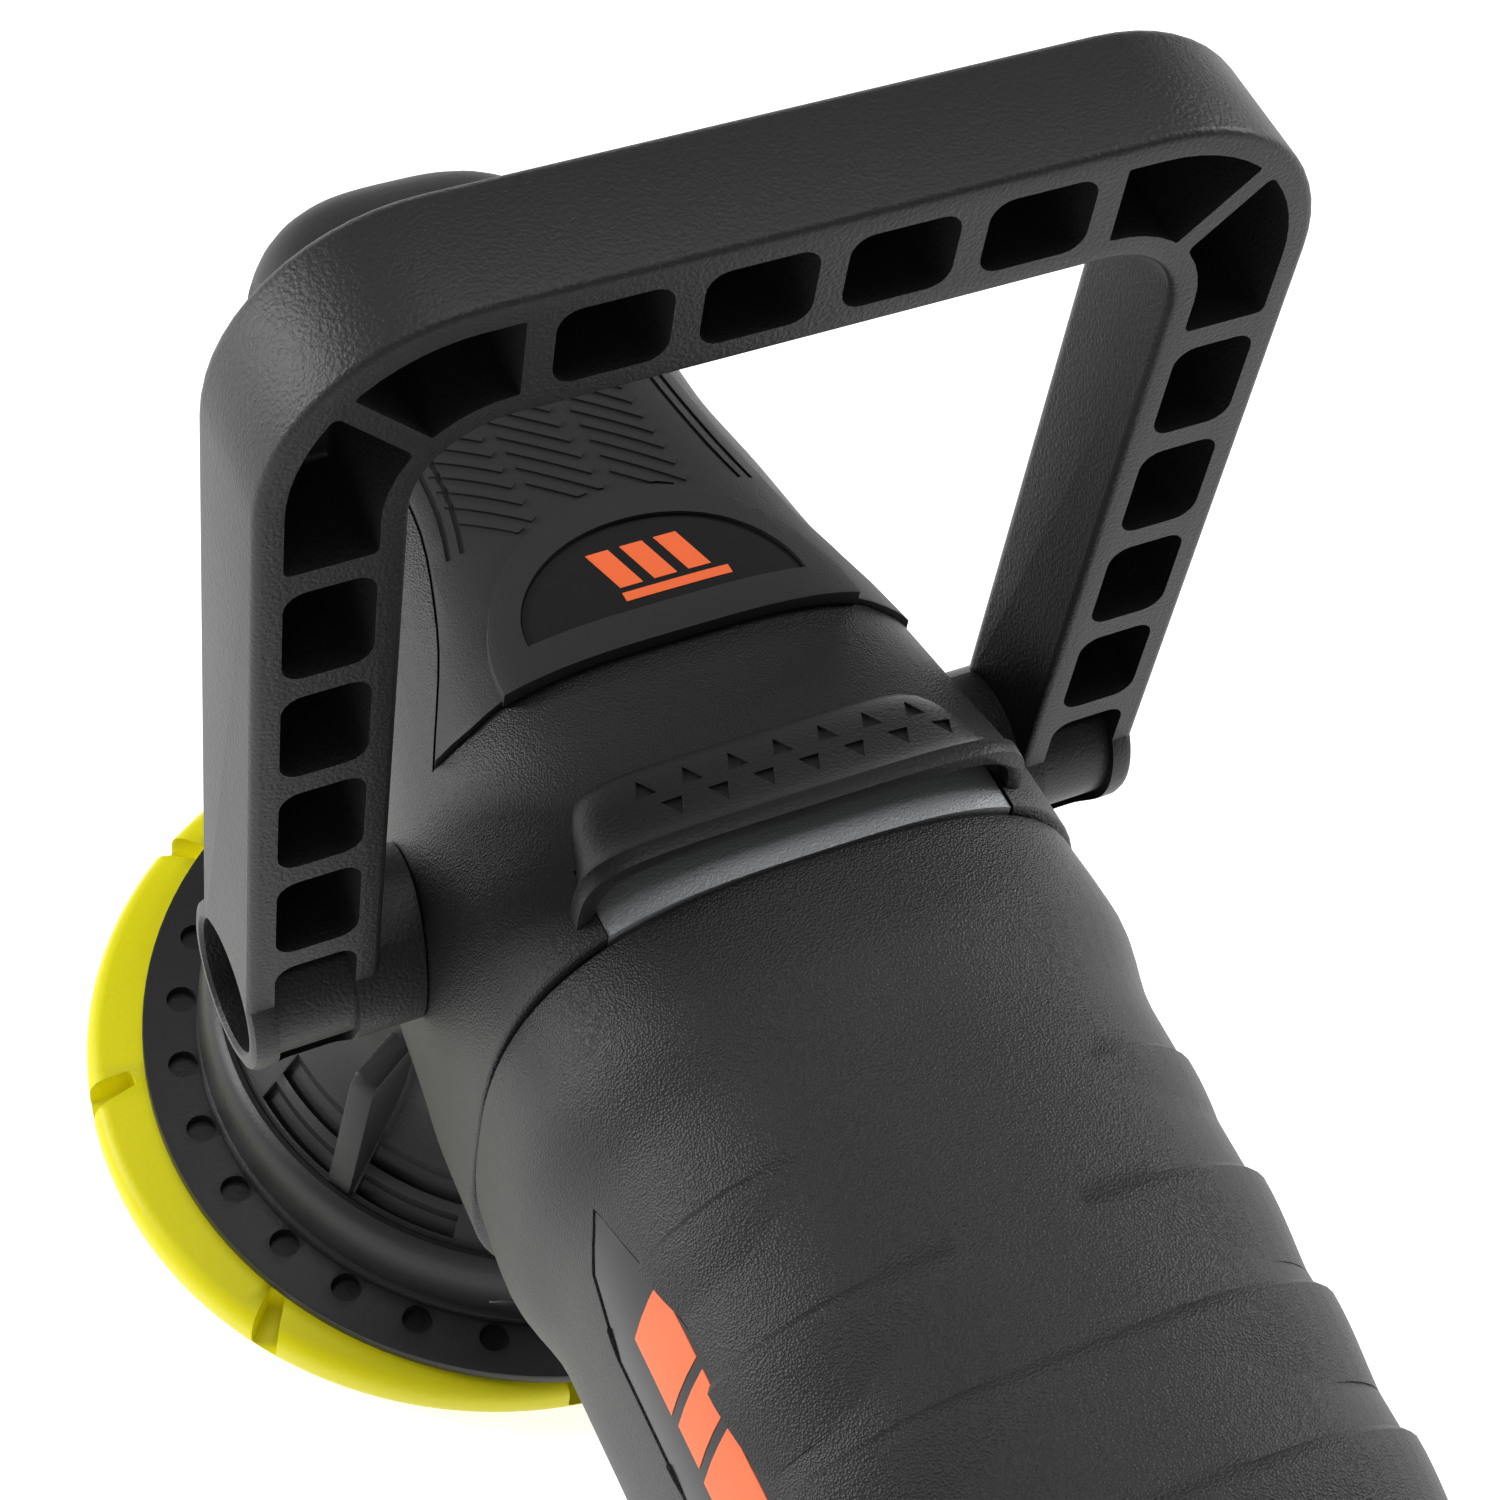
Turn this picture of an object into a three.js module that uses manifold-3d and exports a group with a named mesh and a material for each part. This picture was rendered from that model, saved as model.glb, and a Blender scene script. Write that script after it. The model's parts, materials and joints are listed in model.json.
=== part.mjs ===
// Dual-action polisher with a D-shaped front handle. All sizes are millimetres.
// The spindle turns on the Z axis. The nose points along +Y, the grip along -Y, and the face of the backing
// pad lies in the plane z = 0.
import * as THREE from "three";
import { mergeVertices } from "three/addons/utils/BufferGeometryUtils.js";
import Module from "manifold-3d";

const wasm = await Module();
wasm.setup();

// ---------------------------------------------------------------- driving dimensions
const gap = 0.3; // between two pieces that touch
const wall = 3; // moulded casings
const bodySides = 24; // sides of every casing section

const padRadius = 62.5;
const padThickness = 9;
const hookThickness = 1.2;
const hookInset = 2.5;
const padSlotCount = 8;
const padSlotAngle = 34; // degrees from +X to the first rim slot
const padSlotWidth = 3.2;
const padSlotLength = 7;
const orbitOffset = 7.5; // half of the 15 mm orbit
const orbitAngle = 161; // degrees from +X at rest

const guardRadius = 61.5;
const guardInnerRadius = 36;
const guardThickness = 2.2;
const guardHoleCount = 30;
const guardHoleRing = 55.7;
const guardHoleRadius = 2.3;
const padToGuard = 1.2;

const shroudRimRadius = 53;
const shroudTop = 60.5;
const shroudSlotCount = 8;

const motorAxisZ = 98;
const headHalfWidth = 41;
const headTop = 140.5;
const headSkirtZ = 62;
const headRearY = -60;
const noseTipY = 79;
const bodySquare = 3.2; // 2 is an ellipse, higher is boxier

const housingRearY = -180;
const housingHalfWidth = 39.6;
const housingHalfHeight = 41;
const gripHalfWidth = 29;
const gripHalfHeight = 28.5;
const gripRearY = housingRearY - 154;

const handleHalfWidth = 62.8;
const handleTop = 223.8;
const handleRearY = -38.6;
const handleDepth = 18;
const handleBar = 17.2; // width of the legs and of the crossbar
const handleRim = 3.3;
const handleRib = 3.3;
const diagonalRib = 2.8;
const handleFloor = 3.6;
const handleCorner = 24;
const handleBevel = 2;
const bossY = -29.6;
const bossZ = motorAxisZ + 2.5;
const bossRadius = 11.3;
const boltHeadRadius = 7.2;
const boltRadius = 4;

const gearTeeth = 36;
const pinionTeeth = 12;
const gearPitchRadius = 21;
const toothFace = 8;

const spindleRadius = 7;
const shaftRadius = 6;
const armatureRadius = 21.8;
const statorRadius = 34;
const brushY = housingRearY + 21;

const labelLowZ = 107.5;
const labelHighZ = 123.5;
const labelFrontY = -84;
const labelRearY = housingRearY + 14;
const labelNose = 14; // length of the label's pointed front

const lockY = housingRearY - 39;
const lockZ = motorAxisZ + 4;
const lockRadius = 6;

// ---------------------------------------------------------------- materials
const finish = (color, roughness, metalness) => new THREE.MeshStandardMaterial({ color, roughness, metalness });
const grainedPlastic = finish(0x2c2c2d, 0.62, 0);
const smoothPlastic = finish(0x2f2f30, 0.48, 0);
const softRubber = finish(0x323233, 0.78, 0);
const glossPlate = finish(0x101012, 0.15, 0);
const yellowFoam = finish(0xeee417, 0.55, 0);
const hookFabric = finish(0x1a1a1a, 0.95, 0);
const castAluminium = finish(0x9c9ea1, 0.45, 1);
const steel = finish(0xb4b6ba, 0.3, 1);
const blackSteel = finish(0x3a3b3d, 0.4, 1);
const copper = finish(0xb87333, 0.35, 1);
const enamelled = finish(0x7a3018, 0.4, 0);
const carbon = finish(0x202020, 0.7, 0);
const brass = finish(0xb5a042, 0.35, 1);
const nylon = finish(0x17181a, 0.55, 0);
const fibreBoard = finish(0x20603a, 0.6, 0);

// ---------------------------------------------------------------- tools for shapes
const toRadians = THREE.MathUtils.degToRad;

// A closed geometry as a solid, with its faces pointing out.
function solidOf(geometry) {
  geometry.deleteAttribute("normal");
  geometry.deleteAttribute("uv");
  const merged = mergeVertices(geometry, 1e-4);
  const vertProperties = merged.attributes.position.array;
  const triVerts = new Uint32Array(merged.index.array);
  const made = new wasm.Manifold(new wasm.Mesh({ numProp: 3, vertProperties, triVerts }));
  if (made.volume() > 0) return made;
  for (let i = 0; i < triVerts.length; i += 3) {
    [triVerts[i + 1], triVerts[i + 2]] = [triVerts[i + 2], triVerts[i + 1]];
  }
  return new wasm.Manifold(new wasm.Mesh({ numProp: 3, vertProperties, triVerts }));
}

function geometryOf(solid) {
  const mesh = solid.getMesh();
  const geometry = new THREE.BufferGeometry();
  geometry.setAttribute("position", new THREE.BufferAttribute(mesh.vertProperties, 3));
  geometry.setIndex(new THREE.BufferAttribute(mesh.triVerts, 1));
  geometry.computeVertexNormals();
  return geometry;
}

const joined = (...solids) => solids.reduce((sum, solid) => sum.add(solid));
const without = (solid, ...cuts) => cuts.reduce((rest, cut) => rest.subtract(cut), solid);

// A box between two corners.
function box(low, high) {
  const size = high.map((value, i) => value - low[i]);
  const middle = high.map((value, i) => (value + low[i]) / 2);
  return solidOf(new THREE.BoxGeometry(...size).translate(...middle));
}

// A profile of [radius, height] points turned round Z, or round Y when upright is false.
function turned(profile, sides, upright = true) {
  const points = profile.map(([radius, height]) => new THREE.Vector2(radius, height));
  const geometry = new THREE.LatheGeometry(points, sides);
  return solidOf(upright ? geometry.rotateX(Math.PI / 2) : geometry);
}

// A plain round bar between two heights, and a ring with a bore.
const bar = (radius, low, high, sides, upright = true) =>
  turned([[0, low], [radius, low], [radius, high], [0, high]], sides, upright);
const ring = (inner, outer, low, high, sides, upright = true) =>
  turned([[inner, low], [outer, low], [outer, high], [inner, high], [inner, low]], sides, upright);

// A round bar along X between two places, at a height and a place along Y.
function crossBar(radius, fromX, toX, y, z, sides) {
  const length = Math.abs(toX - fromX);
  const geometry = new THREE.CylinderGeometry(radius, radius, length, sides).rotateZ(Math.PI / 2);
  return solidOf(geometry.translate((fromX + toX) / 2, y, z));
}

function shapeOf(points) {
  return new THREE.Shape(points.map(([x, y]) => new THREE.Vector2(x, y)));
}

// An outline in X and Y, between two heights.
function prism(shape, lowZ, highZ, curveSegments = 8) {
  const geometry = new THREE.ExtrudeGeometry(shape, { depth: highZ - lowZ, bevelEnabled: false, curveSegments });
  return solidOf(geometry.translate(0, 0, lowZ));
}

// An outline in Y and Z, between two places along X.
function sidePrism(shape, lowX, highX) {
  const geometry = new THREE.ExtrudeGeometry(shape, { depth: highX - lowX, bevelEnabled: false });
  const turn = new THREE.Matrix4().makeBasis(
    new THREE.Vector3(0, 1, 0),
    new THREE.Vector3(0, 0, 1),
    new THREE.Vector3(1, 0, 0),
  );
  return solidOf(geometry.applyMatrix4(turn).translate(lowX, 0, 0));
}

// A rounded box section swept along Y through stations, listed from front to back.
function loft(stations) {
  const rows = stations.length - 1;
  const geometry = new THREE.CylinderGeometry(1, 1, 1, bodySides, rows);
  const position = geometry.attributes.position;
  const rounded = (value, square) => Math.sign(value) * Math.abs(value) ** (2 / square);
  for (let i = 0; i < position.count; i += 1) {
    const station = stations[Math.round((0.5 - position.getY(i)) * rows)];
    const middle = (station.top + station.bottom) / 2;
    const halfHeight = (station.top - station.bottom) / 2;
    const across = rounded(position.getX(i), station.square);
    const up = rounded(position.getZ(i), station.square);
    position.setXYZ(i, across * station.halfWidth, station.y, middle + up * halfHeight);
  }
  return solidOf(geometry);
}

// The same stations with the surface moved outwards, or inwards when distance is negative.
const offset = (stations, distance) =>
  stations.map((s) => ({
    ...s,
    halfWidth: s.halfWidth + distance,
    top: s.top + distance,
    bottom: s.bottom - distance,
  }));

// The same stations with the first and last moved along Y.
const stretched = (stations, frontBy, rearBy) =>
  stations.map((s, i) => {
    const shift = i === 0 ? frontBy : i === stations.length - 1 ? -rearBy : 0;
    return { ...s, y: s.y + shift };
  });

// A gear outline with straight-sided teeth. The fractions are the share of a pitch that a tooth fills.
function toothed(teeth, rootRadius, tipRadius, rootShare, tipShare, phase) {
  const pitch = (2 * Math.PI) / teeth;
  const points = [];
  for (let i = 0; i < teeth; i += 1) {
    const corners = [
      [rootRadius, -rootShare / 2],
      [tipRadius, -tipShare / 2],
      [tipRadius, tipShare / 2],
      [rootRadius, rootShare / 2],
    ];
    for (const [radius, share] of corners) {
      const angle = phase + (i + share) * pitch;
      points.push([radius * Math.cos(angle), radius * Math.sin(angle)]);
    }
  }
  return shapeOf(points);
}

// ---------------------------------------------------------------- casing sections
const headHalfHeight = headTop - motorAxisZ;
const headBottom = motorAxisZ - headHalfHeight - 5;

const headStations = [
  { y: noseTipY, halfWidth: headHalfWidth - 33, top: headTop - 25, bottom: 97 },
  { y: noseTipY - 1.5, halfWidth: headHalfWidth - 27, top: headTop - 21, bottom: 92.5 },
  { y: noseTipY - 6, halfWidth: headHalfWidth - 20.5, top: headTop - 17.3, bottom: 87.5 },
  { y: noseTipY - 14, halfWidth: headHalfWidth - 16, top: headTop - 15.1, bottom: 82 },
  { y: noseTipY - 32, halfWidth: headHalfWidth - 13, top: headTop - 13, bottom: 74 },
  { y: 26, halfWidth: headHalfWidth - 12, top: headTop - 10.5, bottom: 66 },
  { y: 10, halfWidth: headHalfWidth - 9.5, top: headTop - 8, bottom: 60 },
  { y: -6, halfWidth: headHalfWidth - 6.5, top: headTop - 6.2, bottom: headBottom },
  { y: -22, halfWidth: headHalfWidth - 3.4, top: headTop - 4.4, bottom: headBottom },
  { y: -38, halfWidth: headHalfWidth - 1.6, top: headTop - 1.8, bottom: headBottom },
  { y: -48, halfWidth: headHalfWidth - 0.4, top: headTop - 0.3, bottom: headBottom },
  { y: headRearY, halfWidth: headHalfWidth, top: headTop, bottom: headBottom },
].map((s) => ({ ...s, square: bodySquare }));

const headSurface = (distance) => loft(offset(headStations, distance));
// The hollow of the head stops short of the nose by the thickness of its wall.
const headHollow = loft(stretched(offset(headStations.slice(2), -wall), 0, wall));

const housingFrontY = headRearY - gap;
const housingStations = [
  { y: housingFrontY, halfWidth: headHalfWidth, halfHeight: headHalfHeight },
  { y: housingFrontY - 12, halfWidth: housingHalfWidth + 2.4, halfHeight: headHalfHeight },
  { y: housingFrontY - 25, halfWidth: housingHalfWidth, halfHeight: housingHalfHeight },
  { y: housingFrontY - 90, halfWidth: housingHalfWidth, halfHeight: housingHalfHeight - 1 },
  { y: housingRearY, halfWidth: housingHalfWidth + 1, halfHeight: housingHalfHeight - 1 },
].map(({ y, halfWidth, halfHeight }) => ({
  y,
  halfWidth,
  top: motorAxisZ + halfHeight,
  bottom: motorAxisZ - halfHeight,
  square: bodySquare - 0.4,
}));

const gripFrontY = housingRearY - gap;
const gripStations = [
  { y: gripFrontY, halfWidth: housingHalfWidth + 0.6, halfHeight: housingHalfHeight - 1.4 },
  { y: gripFrontY - 12, halfWidth: housingHalfWidth - 4, halfHeight: housingHalfHeight - 6 },
  { y: gripFrontY - 32, halfWidth: gripHalfWidth + 1, halfHeight: gripHalfHeight + 1 },
  { y: gripFrontY - 80, halfWidth: gripHalfWidth, halfHeight: gripHalfHeight },
  { y: gripRearY + 28, halfWidth: gripHalfWidth + 2, halfHeight: gripHalfHeight + 2.5 },
  { y: gripRearY + 8, halfWidth: gripHalfWidth + 3, halfHeight: gripHalfHeight + 3.5 },
  { y: gripRearY, halfWidth: gripHalfWidth - 2, halfHeight: gripHalfHeight - 2 },
].map(({ y, halfWidth, halfHeight }) => ({
  y,
  halfWidth,
  top: motorAxisZ + halfHeight,
  bottom: motorAxisZ - halfHeight,
  square: bodySquare - 0.6,
}));

const large = 400; // reaches past the whole object
const caseScrewPlaces = [-1, 1].flatMap((sx) => [-1, 1].map((sz) => [sx * 27, motorAxisZ + sz * 27]));

// ---------------------------------------------------------------- head
const gearCaseInset = wall + 0.5;
const gearCaseFrontY = 34;
const neckRadius = 34.1;
const neckBottomZ = 44;
const neckBore = 30.3;
const gearChamberRadius = 26.5;
const gearChamberTop = 104;
const pinionTunnelRadius = 10;
const bearingSeat = 14;
const bearingRadius = bearingSeat - gap;
const upperBearingSeat = 9.8;
const frontBearingY = -48;
const frontBearingWidth = 10;

function gearCase() {
  const inHead = loft(offset(headStations, -gearCaseInset));
  const block = inHead.intersect(
    box([-large, headRearY + gap, shroudTop + gap], [large, gearCaseFrontY, large]),
  );
  const neck = bar(neckRadius, neckBottomZ, headSkirtZ - gap, 32);
  const chamber = bar(gearChamberRadius, neckBottomZ - 1, gearChamberTop, 32);
  const neckHollow = bar(neckBore, neckBottomZ - 1, headSkirtZ - 2, 32);
  const upperSeat = bar(upperBearingSeat, gearChamberTop - 1, gearChamberTop + 15, 16);
  const tunnel = bar(pinionTunnelRadius, headRearY - 1, -15, 22, false).translate(0, 0, motorAxisZ);
  const seatFrontY = frontBearingY + frontBearingWidth + gap;
  const seat = bar(bearingSeat, headRearY - 1, seatFrontY, 22, false).translate(0, 0, motorAxisZ);
  const boltHole = crossBar(boltRadius + gap, -large, -27, bossY, bossZ, 12);
  const otherBoltHole = crossBar(boltRadius + gap, 27, large, bossY, bossZ, 12);
  const screwPockets = caseScrewPlaces.flatMap(([x, z]) => [
    bar(4.5, -52, -36, 10, false).translate(x, 0, z),
    bar(2.2 + gap, headRearY - 1, -51, 10, false).translate(x, 0, z),
  ]);
  const cuts = [chamber, neckHollow, upperSeat, tunnel, seat, boltHole, otherBoltHole, ...screwPockets];
  return without(joined(block, neck), ...cuts);
}

const bearingPlateTop = 50;
const lowerBearingLow = 48;
const lowerBearingHigh = 59;

function bearingPlate() {
  const seat = bearingSeat;
  return turned([
    [spindleRadius + 1, neckBottomZ],
    [neckBore - gap, neckBottomZ],
    [neckBore - gap, bearingPlateTop],
    [seat + 2.6, bearingPlateTop],
    [seat + 2.6, lowerBearingHigh + 0.5],
    [seat, lowerBearingHigh + 0.5],
    [seat, lowerBearingLow],
    [spindleRadius + 1, lowerBearingLow],
    [spindleRadius + 1, neckBottomZ],
  ], 24);
}

// The soft cover's outline seen from above. It runs on past the nose.
const coverCorner = [headHalfWidth - 8, -24];
function coverOutline(grow) {
  const side = [
    [coverCorner[0] + grow, coverCorner[1] + 1],
    [headHalfWidth - 15.5 + grow, -5],
    [headHalfWidth - 19.5 + grow, 13],
    [headHalfWidth - 20.5 + grow, 32],
    [headHalfWidth - 19 + grow, 52],
    [headHalfWidth - 17 + grow, noseTipY + 6],
  ];
  const rearCurve = new THREE.QuadraticBezierCurve(
    new THREE.Vector2(-coverCorner[0] - grow, coverCorner[1] - grow),
    new THREE.Vector2(0, coverCorner[1] + 7.5 - grow),
    new THREE.Vector2(coverCorner[0] + grow, coverCorner[1] - grow),
  );
  const rear = rearCurve.getPoints(8).map((p) => [p.x, p.y]);
  const left = side.map(([x, y]) => [-x, y]).reverse();
  return shapeOf([...rear, ...side, ...left]);
}

const coverLowZ = 100;
const coverProud = 0.8;
const coverDepth = 1.3;
const badgeHalfWidth = 18.8;
const badgeLength = 14.5;
const badgeRearY = -17.3;

function badgeOutline(grow) {
  const shape = new THREE.Shape();
  shape.absellipse(0, badgeRearY - grow, badgeHalfWidth + grow, badgeLength + 2 * grow, 0, Math.PI, false, 0);
  return shape;
}

const ventHalfWidth = 27;

function headCover() {
  const shell = without(headSurface(0), headHollow, box([-large, -large, -large], [large, large, headSkirtZ]));
  const coverSeat = prism(coverOutline(gap), coverLowZ - gap, large);
  const recess = coverSeat.subtract(headSurface(-coverDepth - gap));
  const vent = box([-ventHalfWidth, headRearY - 1, motorAxisZ + 25], [ventHalfWidth, -50, large]);
  const boltHoles = crossBar(boltRadius + 2 * gap, -large, large, bossY, bossZ, 12);
  return without(shell, recess, vent, boltHoles);
}

function noseCover() {
  const skin = headSurface(coverProud).subtract(headSurface(-coverDepth));
  const sheet = skin.intersect(prism(coverOutline(0), coverLowZ, large));
  const badgeSeat = prism(badgeOutline(gap), coverLowZ, large).subtract(headSurface(-0.6));
  return sheet.subtract(badgeSeat);
}

function badgePlate() {
  const skin = headSurface(0.5).subtract(headSurface(-0.3));
  return skin.intersect(prism(badgeOutline(0), coverLowZ, large, 10));
}

const hoodHalfWidth = 29.5;
const hoodTop = 146;
const hoodRearY = -57;
const hoodFrontY = -43;
const hoodWall = 2;

function ventHood() {
  const stations = [
    { y: hoodFrontY, halfWidth: hoodHalfWidth - 5, top: hoodTop - 5 },
    { y: hoodFrontY - 3, halfWidth: hoodHalfWidth - 2, top: hoodTop - 2.6 },
    { y: hoodRearY, halfWidth: hoodHalfWidth, top: hoodTop },
  ].map((s) => ({ ...s, bottom: headTop - 18, square: 5 }));
  const hollow = stretched(offset(stations.slice(1), -hoodWall), -hoodWall, hoodWall);
  return without(loft(stations), loft(hollow), headSurface(gap));
}

// ---------------------------------------------------------------- D-handle
const crossbarLow = handleTop - handleBar;
const legInnerX = handleHalfWidth - handleBar;
const handleInnerCorner = 10.8;
const cellCorner = 2.5;
const crossRibPitch = (handleHalfWidth - 30) / 2; // two cells on each side of the middle
const legRibTop = handleTop - 34.8;
const legRibLow = bossZ + bossRadius + 5.2;
const legCells = 4;
const boltSeatX = handleHalfWidth - 10.4;
const boltSeatRadius = boltHeadRadius + 1.6;
const washerThickness = 1.5;

function roundedRectangle(lowX, lowY, highX, highY, radius) {
  const shape = new THREE.Shape();
  shape.moveTo(lowX + radius, lowY);
  shape.lineTo(highX - radius, lowY);
  shape.quadraticCurveTo(highX, lowY, highX, lowY + radius);
  shape.lineTo(highX, highY - radius);
  shape.quadraticCurveTo(highX, highY, highX - radius, highY);
  shape.lineTo(lowX + radius, highY);
  shape.quadraticCurveTo(lowX, highY, lowX, highY - radius);
  shape.lineTo(lowX, lowY + radius);
  shape.quadraticCurveTo(lowX, lowY, lowX + radius, lowY);
  return shape;
}

// An outline in X and Z cut into the rear face of the handle, down to its floor.
function handlePocket(shape, curveSegments = 1) {
  const behind = bossRadius;
  const depth = handleDepth - handleFloor + behind;
  const geometry = new THREE.ExtrudeGeometry(shape, { depth, bevelEnabled: false, curveSegments });
  return solidOf(geometry.rotateX(Math.PI / 2).translate(0, handleRearY - behind + depth, 0));
}

// The U of the handle between its outer and inner corner radii.
function handleOutline() {
  const outer = handleHalfWidth;
  const shape = new THREE.Shape();
  shape.moveTo(outer, bossZ);
  shape.lineTo(outer, handleTop - handleCorner);
  shape.absarc(outer - handleCorner, handleTop - handleCorner, handleCorner, 0, Math.PI / 2, false);
  shape.absarc(handleCorner - outer, handleTop - handleCorner, handleCorner, Math.PI / 2, Math.PI, false);
  shape.lineTo(-outer, bossZ);
  shape.lineTo(-legInnerX, bossZ);
  shape.lineTo(-legInnerX, crossbarLow - handleInnerCorner);
  const innerX = legInnerX - handleInnerCorner;
  const innerZ = crossbarLow - handleInnerCorner;
  shape.absarc(-innerX, innerZ, handleInnerCorner, Math.PI, Math.PI / 2, true);
  shape.absarc(innerX, innerZ, handleInnerCorner, Math.PI / 2, 0, true);
  shape.lineTo(legInnerX, bossZ);
  return shape;
}

// The right corner's cell, with a diagonal rib that is left standing across it.
function cornerCell() {
  const outerX = handleHalfWidth - handleCorner;
  const outerZ = handleTop - handleCorner;
  const innerX = legInnerX - handleInnerCorner;
  const innerZ = crossbarLow - handleInnerCorner;
  const fromX = 2 * crossRibPitch + handleRib / 2;
  const fromZ = legRibTop + handleRib / 2;
  const shape = new THREE.Shape();
  shape.moveTo(handleHalfWidth - handleRim, fromZ);
  shape.absarc(outerX, outerZ, handleCorner - handleRim, 0, Math.PI / 2, false);
  shape.lineTo(fromX, handleTop - handleRim);
  shape.lineTo(fromX, crossbarLow + handleRim);
  shape.absarc(innerX, innerZ, handleInnerCorner + handleRim, Math.PI / 2, 0, true);
  shape.lineTo(legInnerX + handleRim, fromZ);
  const length = 3 * handleCorner;
  const rib = box([-length, -large, -diagonalRib / 2], [length, large, diagonalRib / 2]).rotate([0, -45, 0]);
  return handlePocket(shape, 4).subtract(rib.translate(outerX, 0, outerZ));
}

function handleCells() {
  const cells = [];
  for (const i of [-2, -1, 0, 1]) {
    const lowX = i * crossRibPitch + handleRib / 2;
    const highX = (i + 1) * crossRibPitch - handleRib / 2;
    const shape = roundedRectangle(lowX, crossbarLow + handleRim, highX, handleTop - handleRim, cellCorner);
    cells.push(handlePocket(shape));
  }
  const lowX = legInnerX + handleRim;
  const highX = handleHalfWidth - handleRim;
  const pitch = (legRibTop - legRibLow) / legCells;
  const right = [cornerCell()];
  for (let i = 0; i < legCells; i += 1) {
    const highZ = legRibTop - i * pitch - handleRib / 2;
    right.push(handlePocket(roundedRectangle(lowX, highZ - pitch + handleRib, highX, highZ, cellCorner)));
  }
  // The lowest pocket reaches past the bolt tube, which stands in it.
  const lowZ = bossZ - bossRadius + handleRim;
  right.push(handlePocket(roundedRectangle(lowX, lowZ, highX, legRibLow - handleRib / 2, cellCorner)));
  return [...cells, ...right, ...right.map((cell) => cell.mirror([1, 0, 0]))];
}

function dHandle() {
  const geometry = new THREE.ExtrudeGeometry(handleOutline(), {
    depth: handleDepth - 2 * handleBevel,
    bevelEnabled: true,
    bevelThickness: handleBevel,
    bevelSize: handleBevel,
    bevelOffset: -handleBevel,
    bevelSegments: 1,
    curveSegments: 6,
  });
  const bow = solidOf(geometry.rotateX(Math.PI / 2).translate(0, handleRearY + handleDepth - handleBevel, 0));
  const bossInnerX = headHalfWidth - 10;
  const [ends, tubes, holes] = [[], [], []];
  for (const side of [-1, 1]) {
    const innerX = side * bossInnerX;
    const outerX = side * handleHalfWidth;
    ends.push(crossBar(bossRadius, innerX, outerX, bossY, bossZ, 22));
    tubes.push(crossBar(bossRadius - 1.2, innerX, outerX - side * gap, bossY, bossZ, 22));
    holes.push(crossBar(boltRadius + gap, innerX - side, outerX, bossY, bossZ, 12));
    holes.push(crossBar(boltSeatRadius, side * boltSeatX, side * large, bossY, bossZ, 16));
  }
  const open = without(joined(bow, ...ends), ...handleCells());
  return without(joined(open, ...tubes), ...holes, headSurface(gap));
}

const boltHeadX = boltSeatX + washerThickness + gap;

function handleBolt(side) {
  const head = crossBar(boltHeadRadius, side * boltHeadX, side * (boltHeadX + 5), bossY, bossZ, 16);
  const socket = crossBar(3.5, side * (boltHeadX + 1.5), side * (boltHeadX + 6), bossY, bossZ, 6);
  const shank = crossBar(boltRadius, side * 28, side * (boltHeadX + 1), bossY, bossZ, 12);
  return joined(head, shank).subtract(socket);
}

function handleWasher(side) {
  const low = side * (boltSeatX + gap / 2);
  const high = side * (boltSeatX + washerThickness);
  const disc = crossBar(boltSeatRadius - 2 * gap, low, high, bossY, bossZ, 16);
  return disc.subtract(crossBar(boltRadius + gap, 0, side * large, bossY, bossZ, 12));
}

// ---------------------------------------------------------------- pad end
const guardLow = padThickness + padToGuard;
const guardHigh = guardLow + guardThickness;
const shroudLow = guardHigh + gap;
const orbitX = orbitOffset * Math.cos(toRadians(orbitAngle));
const orbitY = orbitOffset * Math.sin(toRadians(orbitAngle));
const onOrbit = (solid) => solid.translate(orbitX, orbitY, 0);

function shroud() {
  const neck = neckRadius + gap;
  const body = turned([
    [neck + 2.2, shroudTop],
    [neck + 2.2, 46],
    [38, 41],
    [44, 31.9],
    [48.6, 25.6],
    [shroudRimRadius - 2.7, 25],
    [shroudRimRadius - 1, 22.6],
    [shroudRimRadius, 18],
    [shroudRimRadius, shroudLow],
    [shroudRimRadius - 3.4, shroudLow],
    [shroudRimRadius - 6.4, 20],
    [43.6, 25],
    [36, 36.5],
    [neck, 42.5],
    [neck, shroudTop],
    [neck + 2.2, shroudTop],
  ], 36);
  const pitch = (2 * Math.PI) / shroudSlotCount;
  const slots = [];
  for (let i = 0; i < shroudSlotCount; i += 1) {
    const from = (i + 0.16) * pitch;
    const to = (i + 0.84) * pitch;
    const shape = new THREE.Shape();
    shape.absarc(0, 0, 43.6, from, to, false);
    shape.absarc(0, 0, 40.4, to, from, true);
    slots.push(prism(shape, 22, 45, 2));
  }
  return without(body, ...slots);
}

function guardRing() {
  const shape = new THREE.Shape();
  shape.absarc(0, 0, guardRadius, 0, 2 * Math.PI, false);
  const bore = new THREE.Path();
  bore.absarc(0, 0, guardInnerRadius, 0, 2 * Math.PI, true);
  shape.holes.push(bore);
  const plate = prism(shape, guardLow, guardHigh, 36);
  const holes = [];
  for (let i = 0; i < guardHoleCount; i += 1) {
    const angle = (2 * Math.PI * i) / guardHoleCount;
    const hole = bar(guardHoleRadius, guardLow - 1, guardHigh + 1, 6);
    holes.push(hole.translate(guardHoleRing * Math.cos(angle), guardHoleRing * Math.sin(angle), 0));
  }
  return without(plate, ...holes);
}

const padBoltHead = 6.8;
const padBoltRadius = 3.5;
const padBoltLow = 4.8;
const padLow = hookThickness + gap;

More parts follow.
